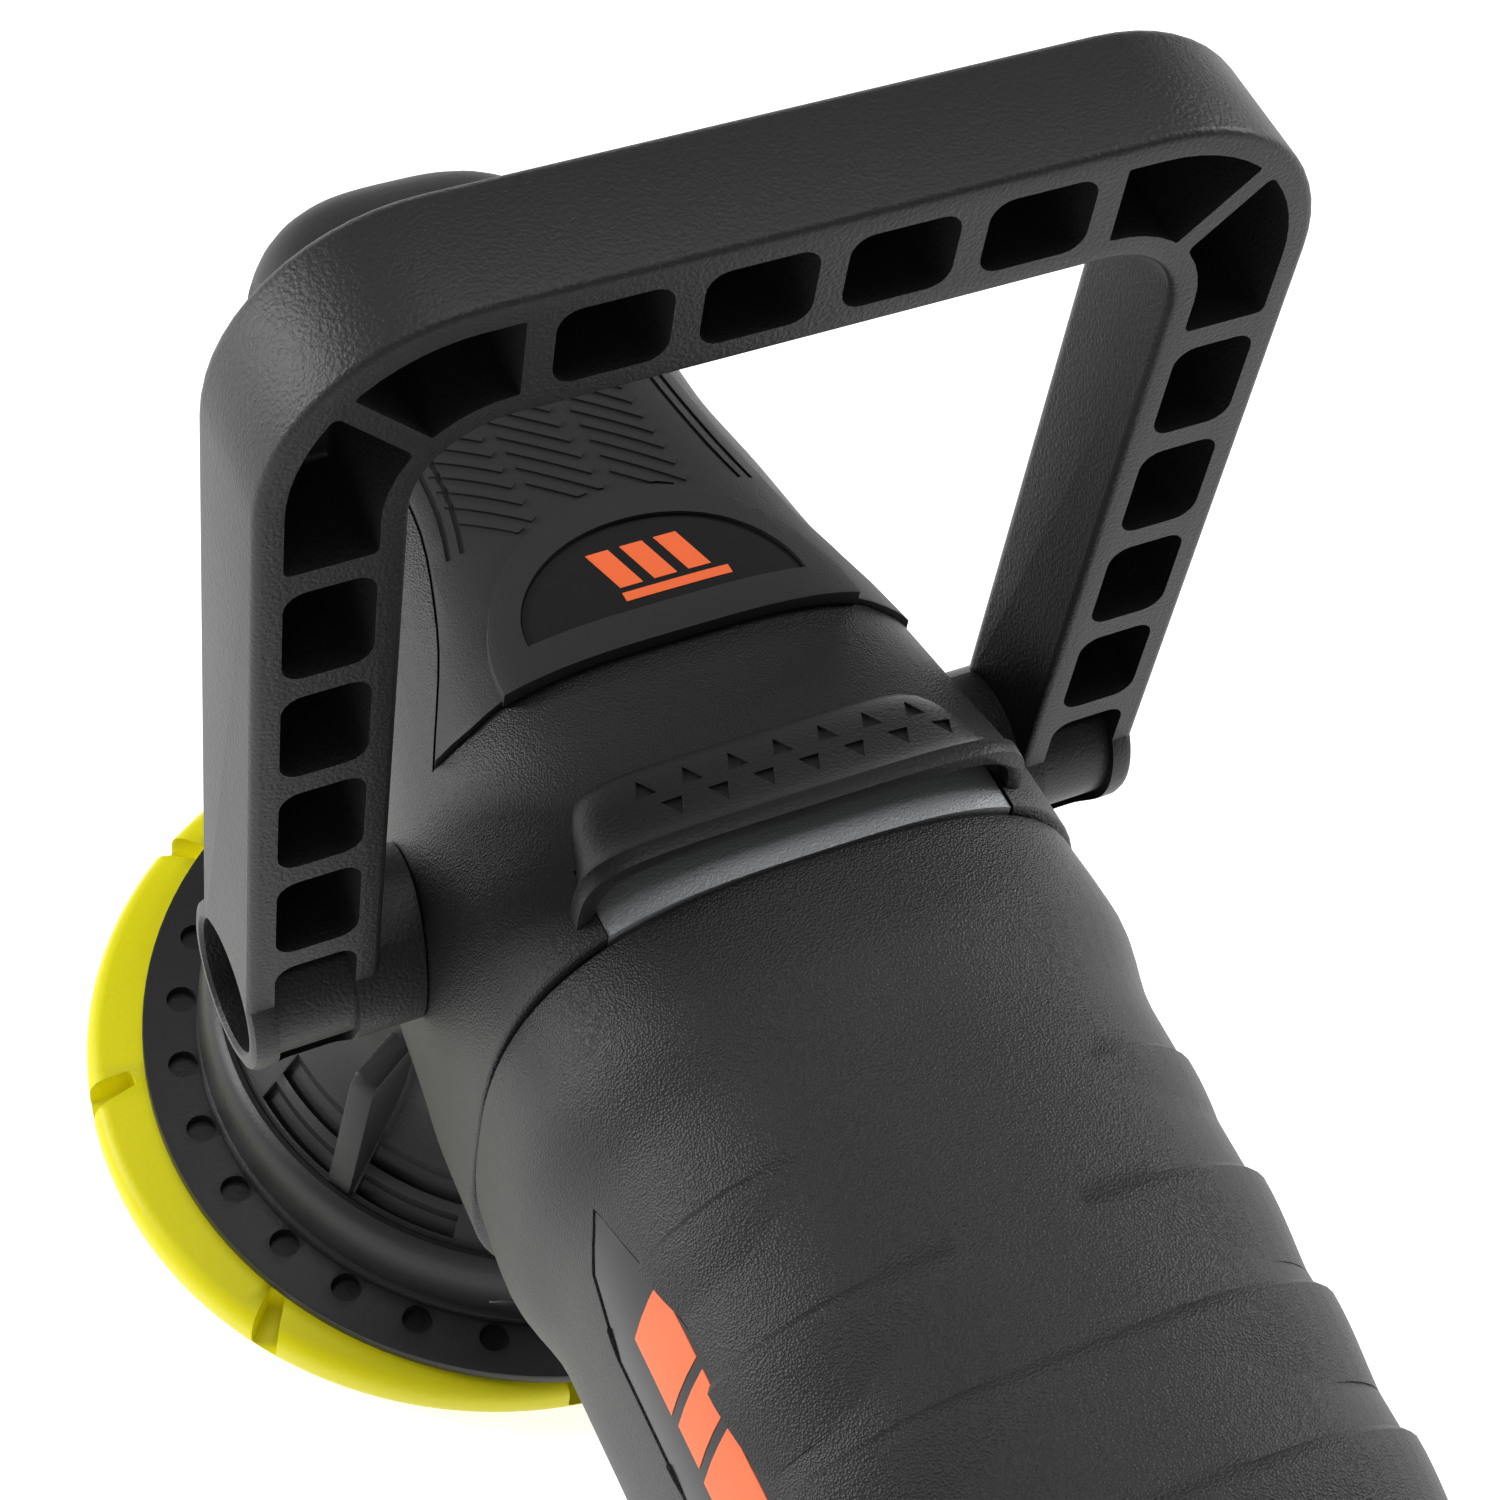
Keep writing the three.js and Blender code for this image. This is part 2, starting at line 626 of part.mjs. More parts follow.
function backingPad() {
  const body = turned([
    [0, padLow],
    [padRadius - 1.6, padLow],
    [padRadius, padLow + 1.6],
    [padRadius, padThickness - 2.2],
    [padRadius - 0.8, padThickness - 0.6],
    [padRadius - 2.4, padThickness],
    [0, padThickness],
  ], 44);
  const pocket = bar(padBoltHead + gap, padBoltLow - gap, padThickness + 1, 14);
  const slots = [];
  for (let i = 0; i < padSlotCount; i += 1) {
    const low = [padRadius - padSlotLength, -padSlotWidth / 2, 4];
    const slot = box(low, [padRadius + 5, padSlotWidth / 2, padThickness + 1]);
    slots.push(slot.rotate([0, 0, padSlotAngle + (360 / padSlotCount) * i]));
  }
  return onOrbit(without(body, pocket, ...slots));
}

const hookFace = () => onOrbit(bar(padRadius - hookInset, 0, hookThickness, 32));

const coreLow = padThickness + gap;
const coreHigh = 13;
const padCore = () => onOrbit(ring(padBoltRadius + gap, 25, coreLow, coreHigh, 24));

const padShaftRadius = 7.5;
const padShaftHigh = 27.5;
const padShaft = () => onOrbit(ring(padBoltRadius + gap, padShaftRadius, coreHigh + gap, padShaftHigh, 16));

function padBolt() {
  const head = bar(padBoltHead, padBoltLow, padThickness, 6);
  return onOrbit(head.add(bar(padBoltRadius, padThickness - 1, padShaftHigh - 2, 12)));
}

const padBearingRadius = 15.4;
const padBearingLow = 17;
const padBearingHigh = 26;
const padBearing = () =>
  onOrbit(ring(padShaftRadius + gap, padBearingRadius, padBearingLow, padBearingHigh, 22));

// ---------------------------------------------------------------- spindle
const hubFlangeLow = 30;
const hubFlangeHigh = 34;
const hubFlangeRadius = 31;
const hubBossHigh = 43;
const spindleLow = hubFlangeLow + 1.3;
const spindleStep = 44.5;
const spindleTop = gearChamberTop + 14;
const spindleNarrow = 5;
const spindleEndRadius = 6;
const spindleNarrowLow = 92;

function eccentricHub() {
  const flange = bar(hubFlangeRadius, hubFlangeLow, hubFlangeHigh, 28);
  const boss = bar(13, hubFlangeHigh - 1, hubBossHigh, 22);
  const cup = onOrbit(bar(padBearingRadius + 3.1, padBearingLow - 1, hubFlangeLow + 1, 22));
  const cupBore = onOrbit(bar(padBearingRadius + gap, padBearingLow - 2, padBearingHigh + 2.5, 22));
  const spindleBore = bar(spindleEndRadius + gap, spindleLow - gap, hubBossHigh + 1, 16);
  return without(joined(flange, boss, cup), cupBore, spindleBore);
}

function counterweight() {
  const away = toRadians(orbitAngle + 180);
  const spread = toRadians(72);
  const shape = new THREE.Shape();
  shape.absarc(0, 0, hubFlangeRadius, away - spread, away + spread, false);
  shape.absarc(0, 0, 19, away + spread, away - spread, true);
  return prism(shape, padBearingLow, hubFlangeLow - gap, 10);
}

const spindle = () =>
  turned([
    [0, spindleLow],
    [spindleEndRadius, spindleLow],
    [spindleEndRadius, spindleStep],
    [spindleRadius, spindleStep],
    [spindleRadius, spindleNarrowLow],
    [spindleNarrow, spindleNarrowLow],
    [spindleNarrow, spindleTop],
    [0, spindleTop],
  ], 16);

const spindleLowerBearing = () =>
  ring(spindleRadius + gap, bearingRadius, lowerBearingLow + gap, lowerBearingHigh, 22);
const spindleUpperBearing = () =>
  ring(spindleNarrow + gap, upperBearingSeat - gap, gearChamberTop + 2, spindleTop - 1, 16);

// Both gears have teeth that run to one point, where their axes cross at the motor axis.
const ratio = gearTeeth / pinionTeeth;
const pinionPitchRadius = gearPitchRadius / ratio;
const addendum = 1.05;
const dedendum = 1.35;
const gearCone = Math.atan(ratio);

// A tooth outline drawn at a distance from the crossing point, swept towards it.
function coneTeeth(shape, drawnAt, from, to) {
  const geometry = new THREE.ExtrudeGeometry(shape, { depth: from - to, bevelEnabled: false });
  const position = geometry.attributes.position;
  for (let i = 0; i < position.count; i += 1) {
    const distance = from - position.getZ(i);
    const scale = distance / drawnAt;
    position.setXYZ(i, position.getX(i) * scale, position.getY(i) * scale, -distance);
  }
  return solidOf(geometry);
}

function bevelGear() {
  const tip = gearPitchRadius + addendum / Math.cos(gearCone);
  const root = gearPitchRadius - dedendum / Math.cos(gearCone);
  const outer = gearPitchRadius + 1.2;
  const from = (pinionPitchRadius * outer) / root + 0.2;
  const to = (pinionPitchRadius * (gearPitchRadius - toothFace)) / gearPitchRadius;
  const shape = toothed(gearTeeth, root, tip, 0.66, 0.16, -Math.PI / 2 + Math.PI / gearTeeth);
  const teeth = coneTeeth(shape, pinionPitchRadius, from, to).translate(0, 0, motorAxisZ);
  const trimmed = teeth.intersect(bar(outer, 0, motorAxisZ, 32));
  const baseTop = motorAxisZ - from + 0.1;
  const base = bar(outer, baseTop - 5, baseTop, 32);
  const hub = bar(12, baseTop - 12, baseTop, 22);
  return joined(trimmed, base, hub).subtract(bar(spindleRadius + gap, 0, motorAxisZ, 16));
}

const pinionHubRadius = 7.5;
const pinionRearY = -36.5;
const shaftNoseRadius = 4;

function bevelPinion() {
  const outerY = gearPitchRadius + 1.2;
  const innerY = gearPitchRadius - toothFace;
  const tip = pinionPitchRadius + addendum;
  const root = pinionPitchRadius - dedendum;
  const shape = toothed(pinionTeeth, root, tip, 0.62, 0.2, -Math.PI / 2);
  const teeth = coneTeeth(shape, gearPitchRadius, outerY, innerY).rotate([-90, 0, 0]);
  const hub = bar(pinionHubRadius, pinionRearY, -outerY + 0.1, 16, false);
  const bore = bar(shaftNoseRadius + gap, pinionRearY - 1, -outerY - 1.5, 12, false);
  return joined(teeth, hub).subtract(bore).translate(0, 0, motorAxisZ);
}

// ---------------------------------------------------------------- motor
const onMotorAxis = (solid) => solid.translate(0, 0, motorAxisZ);
const fanFrontY = -63;
const fanRearY = -74;
const fanRadius = 31;
const coreFrontY = -86;
const coreRearY = housingRearY + 38;
const commutatorFrontY = housingRearY + 30;
const commutatorRearY = housingRearY + 13;
const commutatorRadius = 13;
const rearBearingFrontY = housingRearY + 9;
const rearBearingRadius = 11.7;

const armatureShaft = () =>
  onMotorAxis(turned([
    [0, housingRearY + 0.5],
    [shaftRadius, housingRearY + 0.5],
    [shaftRadius, pinionRearY - gap],
    [shaftNoseRadius, pinionRearY - gap],
    [shaftNoseRadius, -gearPitchRadius - 3.2],
    [0, -gearPitchRadius - 3.2],
  ], 16, false));

function armatureCore() {
  const shape = toothed(12, armatureRadius - 4, armatureRadius, 0.7, 0.8, 0);
  const geometry = new THREE.ExtrudeGeometry(shape, { depth: coreFrontY - coreRearY, bevelEnabled: false });
  const stack = solidOf(geometry.rotateX(Math.PI / 2)).translate(0, coreFrontY, 0);
  return onMotorAxis(stack.subtract(bar(shaftRadius + gap, -large, large, 16, false)));
}

const commutator = () =>
  onMotorAxis(ring(shaftRadius + gap, commutatorRadius, commutatorRearY, commutatorFrontY, 16, false));

function coolingFan() {
  const blades = [];
  for (let i = 0; i < 9; i += 1) {
    const blade = box([8, fanRearY + 1, -0.9], [fanRadius, fanFrontY, 0.9]);
    blades.push(blade.rotate([0, 40 * i, 0]));
  }
  const disc = bar(fanRadius, fanRearY, fanRearY + 2, 24, false);
  const hub = bar(10, fanRearY, fanFrontY, 16, false);
  const bore = bar(shaftRadius + gap, -large, large, 16, false);
  return onMotorAxis(joined(disc, hub, ...blades).subtract(bore));
}

const fanBaffle = () => onMotorAxis(ring(22, 37, fanRearY - 4.5, fanRearY - 2.5, 28, false));
const frontBearing = () =>
  onMotorAxis(
    ring(shaftRadius + gap, bearingRadius, frontBearingY, frontBearingY + frontBearingWidth, 22, false),
  );
const rearBearing = () =>
  onMotorAxis(ring(shaftRadius + gap, rearBearingRadius, housingRearY + 1.5, rearBearingFrontY, 18, false));

const statorPocketOuter = 28.6;
const coilSpread = toRadians(38);

// A sector of a ring, along the motor axis, centred on +X or -X.
function motorSector(inner, outer, spread, rearY, frontY, side) {
  const middle = side > 0 ? 0 : Math.PI;
  const shape = new THREE.Shape();
  shape.absarc(0, 0, outer, middle - spread, middle + spread, false);
  shape.absarc(0, 0, inner, middle + spread, middle - spread, true);
  const geometry = new THREE.ExtrudeGeometry(shape, {
    depth: frontY - rearY,
    bevelEnabled: false,
    curveSegments: 6,
  });
  return solidOf(geometry.rotateX(Math.PI / 2)).translate(0, frontY, 0);
}

function statorCore() {
  const inner = armatureRadius + 1;
  const body = ring(inner, statorRadius, coreRearY, coreFrontY, 32, false);
  const pockets = [-1, 1].map((side) =>
    motorSector(inner - 1, statorPocketOuter, coilSpread + 0.03, coreRearY - 1, coreFrontY + 1, side),
  );
  return onMotorAxis(without(body, ...pockets));
}

const fieldCoil = (side) =>
  onMotorAxis(
    motorSector(armatureRadius + 1.2, statorPocketOuter - gap, coilSpread, coreRearY - 4, coreFrontY + 4, side),
  );

function brushHolder(side) {
  const [from, to] = [side * (commutatorRadius + 1.2), side * 35];
  const [low, high] = from < to ? [from, to] : [to, from];
  const body = box([low, brushY - 6, motorAxisZ - 5.5], [high, brushY + 6, motorAxisZ + 5.5]);
  const bore = box([low - 1, brushY - 4.3, motorAxisZ - 3.6], [high + 1, brushY + 4.3, motorAxisZ + 3.6]);
  return body.subtract(bore);
}

function carbonBrush(side) {
  const [from, to] = [side * (commutatorRadius + gap), side * 27];
  const [low, high] = from < to ? [from, to] : [to, from];
  return box([low, brushY - 4, motorAxisZ - 3.3], [high, brushY + 4, motorAxisZ + 3.3]);
}

const brushCapRadius = 6.6;
function brushCap(side) {
  const cap = crossBar(brushCapRadius, side * 35.4, side * (housingHalfWidth + 0.9), brushY, motorAxisZ, 14);
  const slotX = housingHalfWidth + 0.1;
  const [low, high] = side > 0 ? [slotX, slotX + 5] : [-slotX - 5, -slotX];
  return cap.subtract(box([low, brushY - 5, motorAxisZ - 0.8], [high, brushY + 5, motorAxisZ + 0.8]));
}

// ---------------------------------------------------------------- motor housing and its labels
function labelOutline(grow) {
  return shapeOf([
    [labelFrontY + 1.3 * grow, labelHighZ - 5],
    [labelFrontY - 4.6 + 1.2 * grow, labelLowZ + 4.3 - 0.4 * grow],
    [labelFrontY - labelNose, labelLowZ - grow],
    [labelRearY - grow, labelLowZ - grow],
    [labelRearY - grow, labelHighZ + grow],
    [labelFrontY - 20, labelHighZ + grow],
    [labelFrontY - 10 + 0.2 * grow, labelHighZ - 2 + grow],
  ]);
}

const labelPrism = (side, grow) =>
  side > 0 ? sidePrism(labelOutline(grow), 10, large) : sidePrism(labelOutline(grow), -large, -10);

function sideLabel(side) {
  const skin = loft(offset(housingStations, -0.2)).subtract(loft(offset(housingStations, -0.9)));
  return skin.intersect(labelPrism(side, 0));
}

function motorHousing() {
  const outer = loft(housingStations);
  const hollow = loft(stretched(offset(housingStations, -wall), wall, -4));
  const bearingBoss = onMotorAxis(bar(rearBearingRadius + 3.6, housingRearY + 1, rearBearingFrontY, 22, false));
  const bearingBore = onMotorAxis(bar(rearBearingRadius + gap, housingRearY + 1.2, 0, 18, false));
  const rearHole = onMotorAxis(bar(shaftRadius + gap, housingRearY - 1, 0, 16, false));
  const airHoles = [];
  for (let i = 0; i < 6; i += 1) {
    const angle = toRadians(60 * i);
    const hole = bar(5.5, housingRearY - 1, housingRearY + 9, 10, false);
    airHoles.push(hole.translate(25 * Math.cos(angle), 0, motorAxisZ + 25 * Math.sin(angle)));
  }
  const screwBosses = caseScrewPlaces.map(([x, z]) =>
    bar(5.4, housingFrontY - 16, housingFrontY, 10, false).translate(x, 0, z).intersect(outer),
  );
  const screwHoles = caseScrewPlaces.map(([x, z]) =>
    bar(2.2 + gap, housingFrontY - 14, housingFrontY + 1, 10, false).translate(x, 0, z),
  );
  const labelSeats = [-1, 1].map((side) =>
    labelPrism(side, gap).subtract(loft(offset(housingStations, -1.2))),
  );
  const capHoles = crossBar(brushCapRadius + gap, -large, large, brushY, motorAxisZ, 14);
  const shell = joined(outer.subtract(hollow), bearingBoss, ...screwBosses);
  return without(shell, bearingBore, rearHole, capHoles, ...airHoles, ...screwHoles, ...labelSeats);
}

function caseScrew([x, z]) {
  const head = bar(4, -51.7, -48.5, 10, false);
  const shank = bar(2.2, housingFrontY - 12, -51, 10, false);
  return head.add(shank).translate(x, 0, z);
}

// ---------------------------------------------------------------- grip
const shellScrewPlaces = [
  [housingRearY - 12, motorAxisZ - 26],
  [housingRearY - 88, motorAxisZ + 18],
  [gripRearY + 16, motorAxisZ],
];
const triggerHalfWidth = 8;
const triggerFrontY = housingRearY - 23.5;
const triggerRearY = triggerFrontY - 56.5;
const dialRadius = 11;
const dialHalfWidth = 4;
const dialY = housingRearY - 18;
const dialZ = motorAxisZ + gripHalfHeight - 2.5;
const glandRadius = 7;

function gripShell(side) {
  const outer = loft(gripStations);
  const hollow = loft(stretched(offset(gripStations, -wall), wall, -wall));
  const bosses = shellScrewPlaces.map(([y, z]) => crossBar(4.6, -large, large, y, z, 10).intersect(outer));
  const triggerMouth = box(
    [-triggerHalfWidth - 0.7, triggerRearY - 1.6, -large],
    [triggerHalfWidth + 0.7, triggerFrontY + 0.8, motorAxisZ - 14],
  );
  const dialMouth = box(
    [-dialHalfWidth - 0.6, dialY - dialRadius - 0.8, motorAxisZ],
    [dialHalfWidth + 0.6, dialY + dialRadius + 0.8, large],
  );
  const lockHole = crossBar(lockRadius + 0.4, -large, 0, lockY, lockZ, 14);
  const glandHole = onMotorAxis(bar(glandRadius + gap, gripRearY - 1, gripRearY + wall + 1, 16, false));
  const screwHoles = shellScrewPlaces.flatMap(([y, z]) => [
    crossBar(1.6 + gap, -20.5, large, y, z, 8),
    crossBar(3.2 + gap, 20, large, y, z, 10),
  ]);
  const whole = joined(outer.subtract(hollow), ...bosses);
  const cut = without(whole, triggerMouth, dialMouth, lockHole, glandHole, ...screwHoles);
  const [low, high] = side > 0 ? [gap / 2, large] : [-large, -gap / 2];
  return cut.intersect(box([low, -large, -large], [high, large, large]));
}

function shellScrew([y, z]) {
  const head = crossBar(3.2, 20.3, 23, y, z, 10);
  return head.add(crossBar(1.6, -20, 21, y, z, 8));
}

function trigger() {
  const profile = shapeOf([
    [triggerFrontY, motorAxisZ - 15],
    [triggerFrontY - 6.5, motorAxisZ - 15],
    [triggerFrontY - 12.5, motorAxisZ - 21],
    [triggerRearY + 1, motorAxisZ - 23],
    [triggerRearY, motorAxisZ - 30],
    [triggerRearY + 7, motorAxisZ - 37.5],
    [triggerFrontY - 32.5, motorAxisZ - 40],
    [triggerFrontY - 14.5, motorAxisZ - 37.5],
    [triggerFrontY, motorAxisZ - 29],
  ]);
  return sidePrism(profile, -triggerHalfWidth, triggerHalfWidth);
}

const switchBody = () =>
  box([-12, triggerRearY + 4, motorAxisZ - 12.5], [12, triggerFrontY - 6.5, motorAxisZ + 12]);
const speedBoard = () =>
  box([-10, triggerRearY - 40, motorAxisZ - 8], [10, triggerRearY - 16, motorAxisZ + 6]);

function lockButton() {
  const surfaceX = gripHalfWidth + 1;
  const stem = crossBar(lockRadius, -surfaceX - 2, -surfaceX + 9, lockY, lockZ, 14);
  return stem.add(crossBar(lockRadius + 2.2, -surfaceX + 6.5, -surfaceX + 9, lockY, lockZ, 14));
}

function speedDial() {
  const ribs = toothed(20, dialRadius - 0.7, dialRadius, 0.62, 0.42, 0);
  const wheel = sidePrism(ribs, -dialHalfWidth, dialHalfWidth);
  return wheel.add(crossBar(2, -7, 7, 0, 0, 10)).translate(0, dialY, dialZ);
}

const cordGland = () =>
  onMotorAxis(turned([
    [4, gripRearY - 10],
    [8.6, gripRearY - 10],
    [9.4, gripRearY - 8.6],
    [9.4, gripRearY - gap],
    [glandRadius, gripRearY - gap],
    [glandRadius, gripRearY + wall + gap],
    [9.8, gripRearY + wall + gap],
    [9.8, gripRearY + wall + 3],
    [4, gripRearY + wall + 3],
    [4, gripRearY - 10],
  ], 18, false));

// ---------------------------------------------------------------- assembly
const polisher = new THREE.Group();

function place(name, solid, material) {
  const mesh = new THREE.Mesh(geometryOf(solid), material);
  mesh.name = name;
  polisher.add(mesh);
}

place("gear_case", gearCase(), castAluminium);
place("bearing_plate", bearingPlate(), castAluminium);
place("head_cover", headCover(), grainedPlastic);
place("nose_cover", noseCover(), softRubber);
place("badge_plate", badgePlate(), glossPlate);
place("vent_hood", ventHood(), smoothPlastic);
place("d_handle", dHandle(), smoothPlastic);
place("shroud", shroud(), smoothPlastic);
place("guard_ring", guardRing(), smoothPlastic);
place("motor_housing", motorHousing(), grainedPlastic);

place("backing_pad", backingPad(), yellowFoam);
place("hook_face", hookFace(), hookFabric);
place("pad_core", padCore(), nylon);
place("pad_shaft", padShaft(), steel);
place("pad_bolt", padBolt(), blackSteel);

place("spindle", spindle(), steel);
place("bevel_gear", bevelGear(), blackSteel);
place("eccentric_hub", eccentricHub(), castAluminium);
place("counterweight", counterweight(), steel);
place("pad_bearing", padBearing(), steel);
place("spindle_lower_bearing", spindleLowerBearing(), steel);
place("spindle_upper_bearing", spindleUpperBearing(), steel);

place("bevel_pinion", bevelPinion(), blackSteel);
place("armature_shaft", armatureShaft(), steel);
place("armature_core", armatureCore(), blackSteel);
place("commutator", commutator(), copper);
place("cooling_fan", coolingFan(), nylon);
place("front_bearing", frontBearing(), steel);
place("rear_bearing", rearBearing(), steel);
place("stator_core", statorCore(), blackSteel);
place("fan_baffle", fanBaffle(), nylon);

for (const [side, word] of [[-1, "left"], [1, "right"]]) {
  place(`handle_bolt_${word}`, handleBolt(side), blackSteel);
  place(`handle_washer_${word}`, handleWasher(side), steel);
  place(`side_label_${word}`, sideLabel(side), glossPlate);
  place(`field_coil_${word}`, fieldCoil(side), enamelled);
  place(`brush_holder_${word}`, brushHolder(side), brass);
  place(`carbon_brush_${word}`, carbonBrush(side), carbon);
  place(`brush_cap_${word}`, brushCap(side), nylon);
  place(`grip_shell_${word}`, gripShell(side), grainedPlastic);
}

caseScrewPlaces.forEach((spot, i) => place(`case_screw_${i + 1}`, caseScrew(spot), blackSteel));
shellScrewPlaces.forEach((spot, i) => place(`shell_screw_${i + 1}`, shellScrew(spot), blackSteel));

place("trigger", trigger(), nylon);
place("lock_button", lockButton(), nylon);
place("speed_dial", speedDial(), nylon);
place("speed_board", speedBoard(), fibreBoard);
place("switch_body", switchBody(), nylon);
place("cord_gland", cordGland(), softRubber);

export default polisher;
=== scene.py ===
"""Looks of a dual-action polisher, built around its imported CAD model.

Sizes are in millimetres in the frame of the CAD model. A solid is shaped in
millimetres, and show() brings the finished piece into metres.
"""

import json
import logging
import math
from dataclasses import dataclass, field
from enum import Enum
from typing import Callable, Iterable, Sequence

import bmesh
import bpy
from mathutils import Matrix, Vector


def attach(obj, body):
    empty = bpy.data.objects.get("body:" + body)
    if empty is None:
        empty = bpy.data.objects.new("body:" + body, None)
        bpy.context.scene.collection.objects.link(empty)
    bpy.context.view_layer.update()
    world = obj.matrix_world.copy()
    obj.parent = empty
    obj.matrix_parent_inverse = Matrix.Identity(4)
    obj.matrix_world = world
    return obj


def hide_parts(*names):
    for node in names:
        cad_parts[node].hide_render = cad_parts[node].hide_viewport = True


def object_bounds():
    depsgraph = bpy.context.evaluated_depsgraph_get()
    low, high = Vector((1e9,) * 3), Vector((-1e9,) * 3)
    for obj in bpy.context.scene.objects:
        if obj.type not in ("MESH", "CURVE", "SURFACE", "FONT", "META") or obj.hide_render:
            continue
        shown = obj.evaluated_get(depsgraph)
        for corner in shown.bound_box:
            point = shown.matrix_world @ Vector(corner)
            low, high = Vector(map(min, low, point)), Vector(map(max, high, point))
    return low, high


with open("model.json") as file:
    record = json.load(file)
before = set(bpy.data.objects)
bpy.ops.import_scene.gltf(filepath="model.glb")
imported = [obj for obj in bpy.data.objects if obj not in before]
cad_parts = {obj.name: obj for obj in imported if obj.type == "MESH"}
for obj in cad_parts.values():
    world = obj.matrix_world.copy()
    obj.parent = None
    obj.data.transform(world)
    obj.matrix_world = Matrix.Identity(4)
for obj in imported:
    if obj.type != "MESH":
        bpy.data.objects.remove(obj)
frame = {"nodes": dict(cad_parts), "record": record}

CAD_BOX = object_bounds()
LOG = logging.getLogger("polisher")
MILLIMETRE = 0.001
LARGE = 400.0  # reaches past the whole tool
MOTOR_Z = 98.0  # height of the motor axis
Point = tuple[float, ...]


class Axis(Enum):
    """The way along which an outline is drawn out or round which a profile is turned."""

    X = (1, 0, 0)
    Y = (0, 1, 0)
    Z = (0, 0, 1)

    def place(self, first: float, second: float, along: float) -> Point:
        """Returns the point in space of an outline's point.

        Args:
            first: The outline's first coordinate.
            second: The outline's second coordinate.
            along: The place along this axis.

        Returns:
            The point as x, y and z.
        """
        if self is Axis.X:
            return (along, first, second)
        if self is Axis.Y:
            return (first, along, second)
        return (first, second, along)


class Grain(Enum):
    """The small pattern of a finish."""

    LEATHER = "leather"
    FINE = "fine"
    BRUSHED = "brushed"
    CAST = "cast"
    LOOPS = "loops"
    WINDING = "winding"


# ------------------------------------------------------------------ shaping


def deselect() -> None:
    """Leaves edit mode with nothing selected."""
    if bpy.context.mode != "OBJECT":
        bpy.ops.object.mode_set(mode="OBJECT")
    bpy.ops.object.select_all(action="DESELECT")


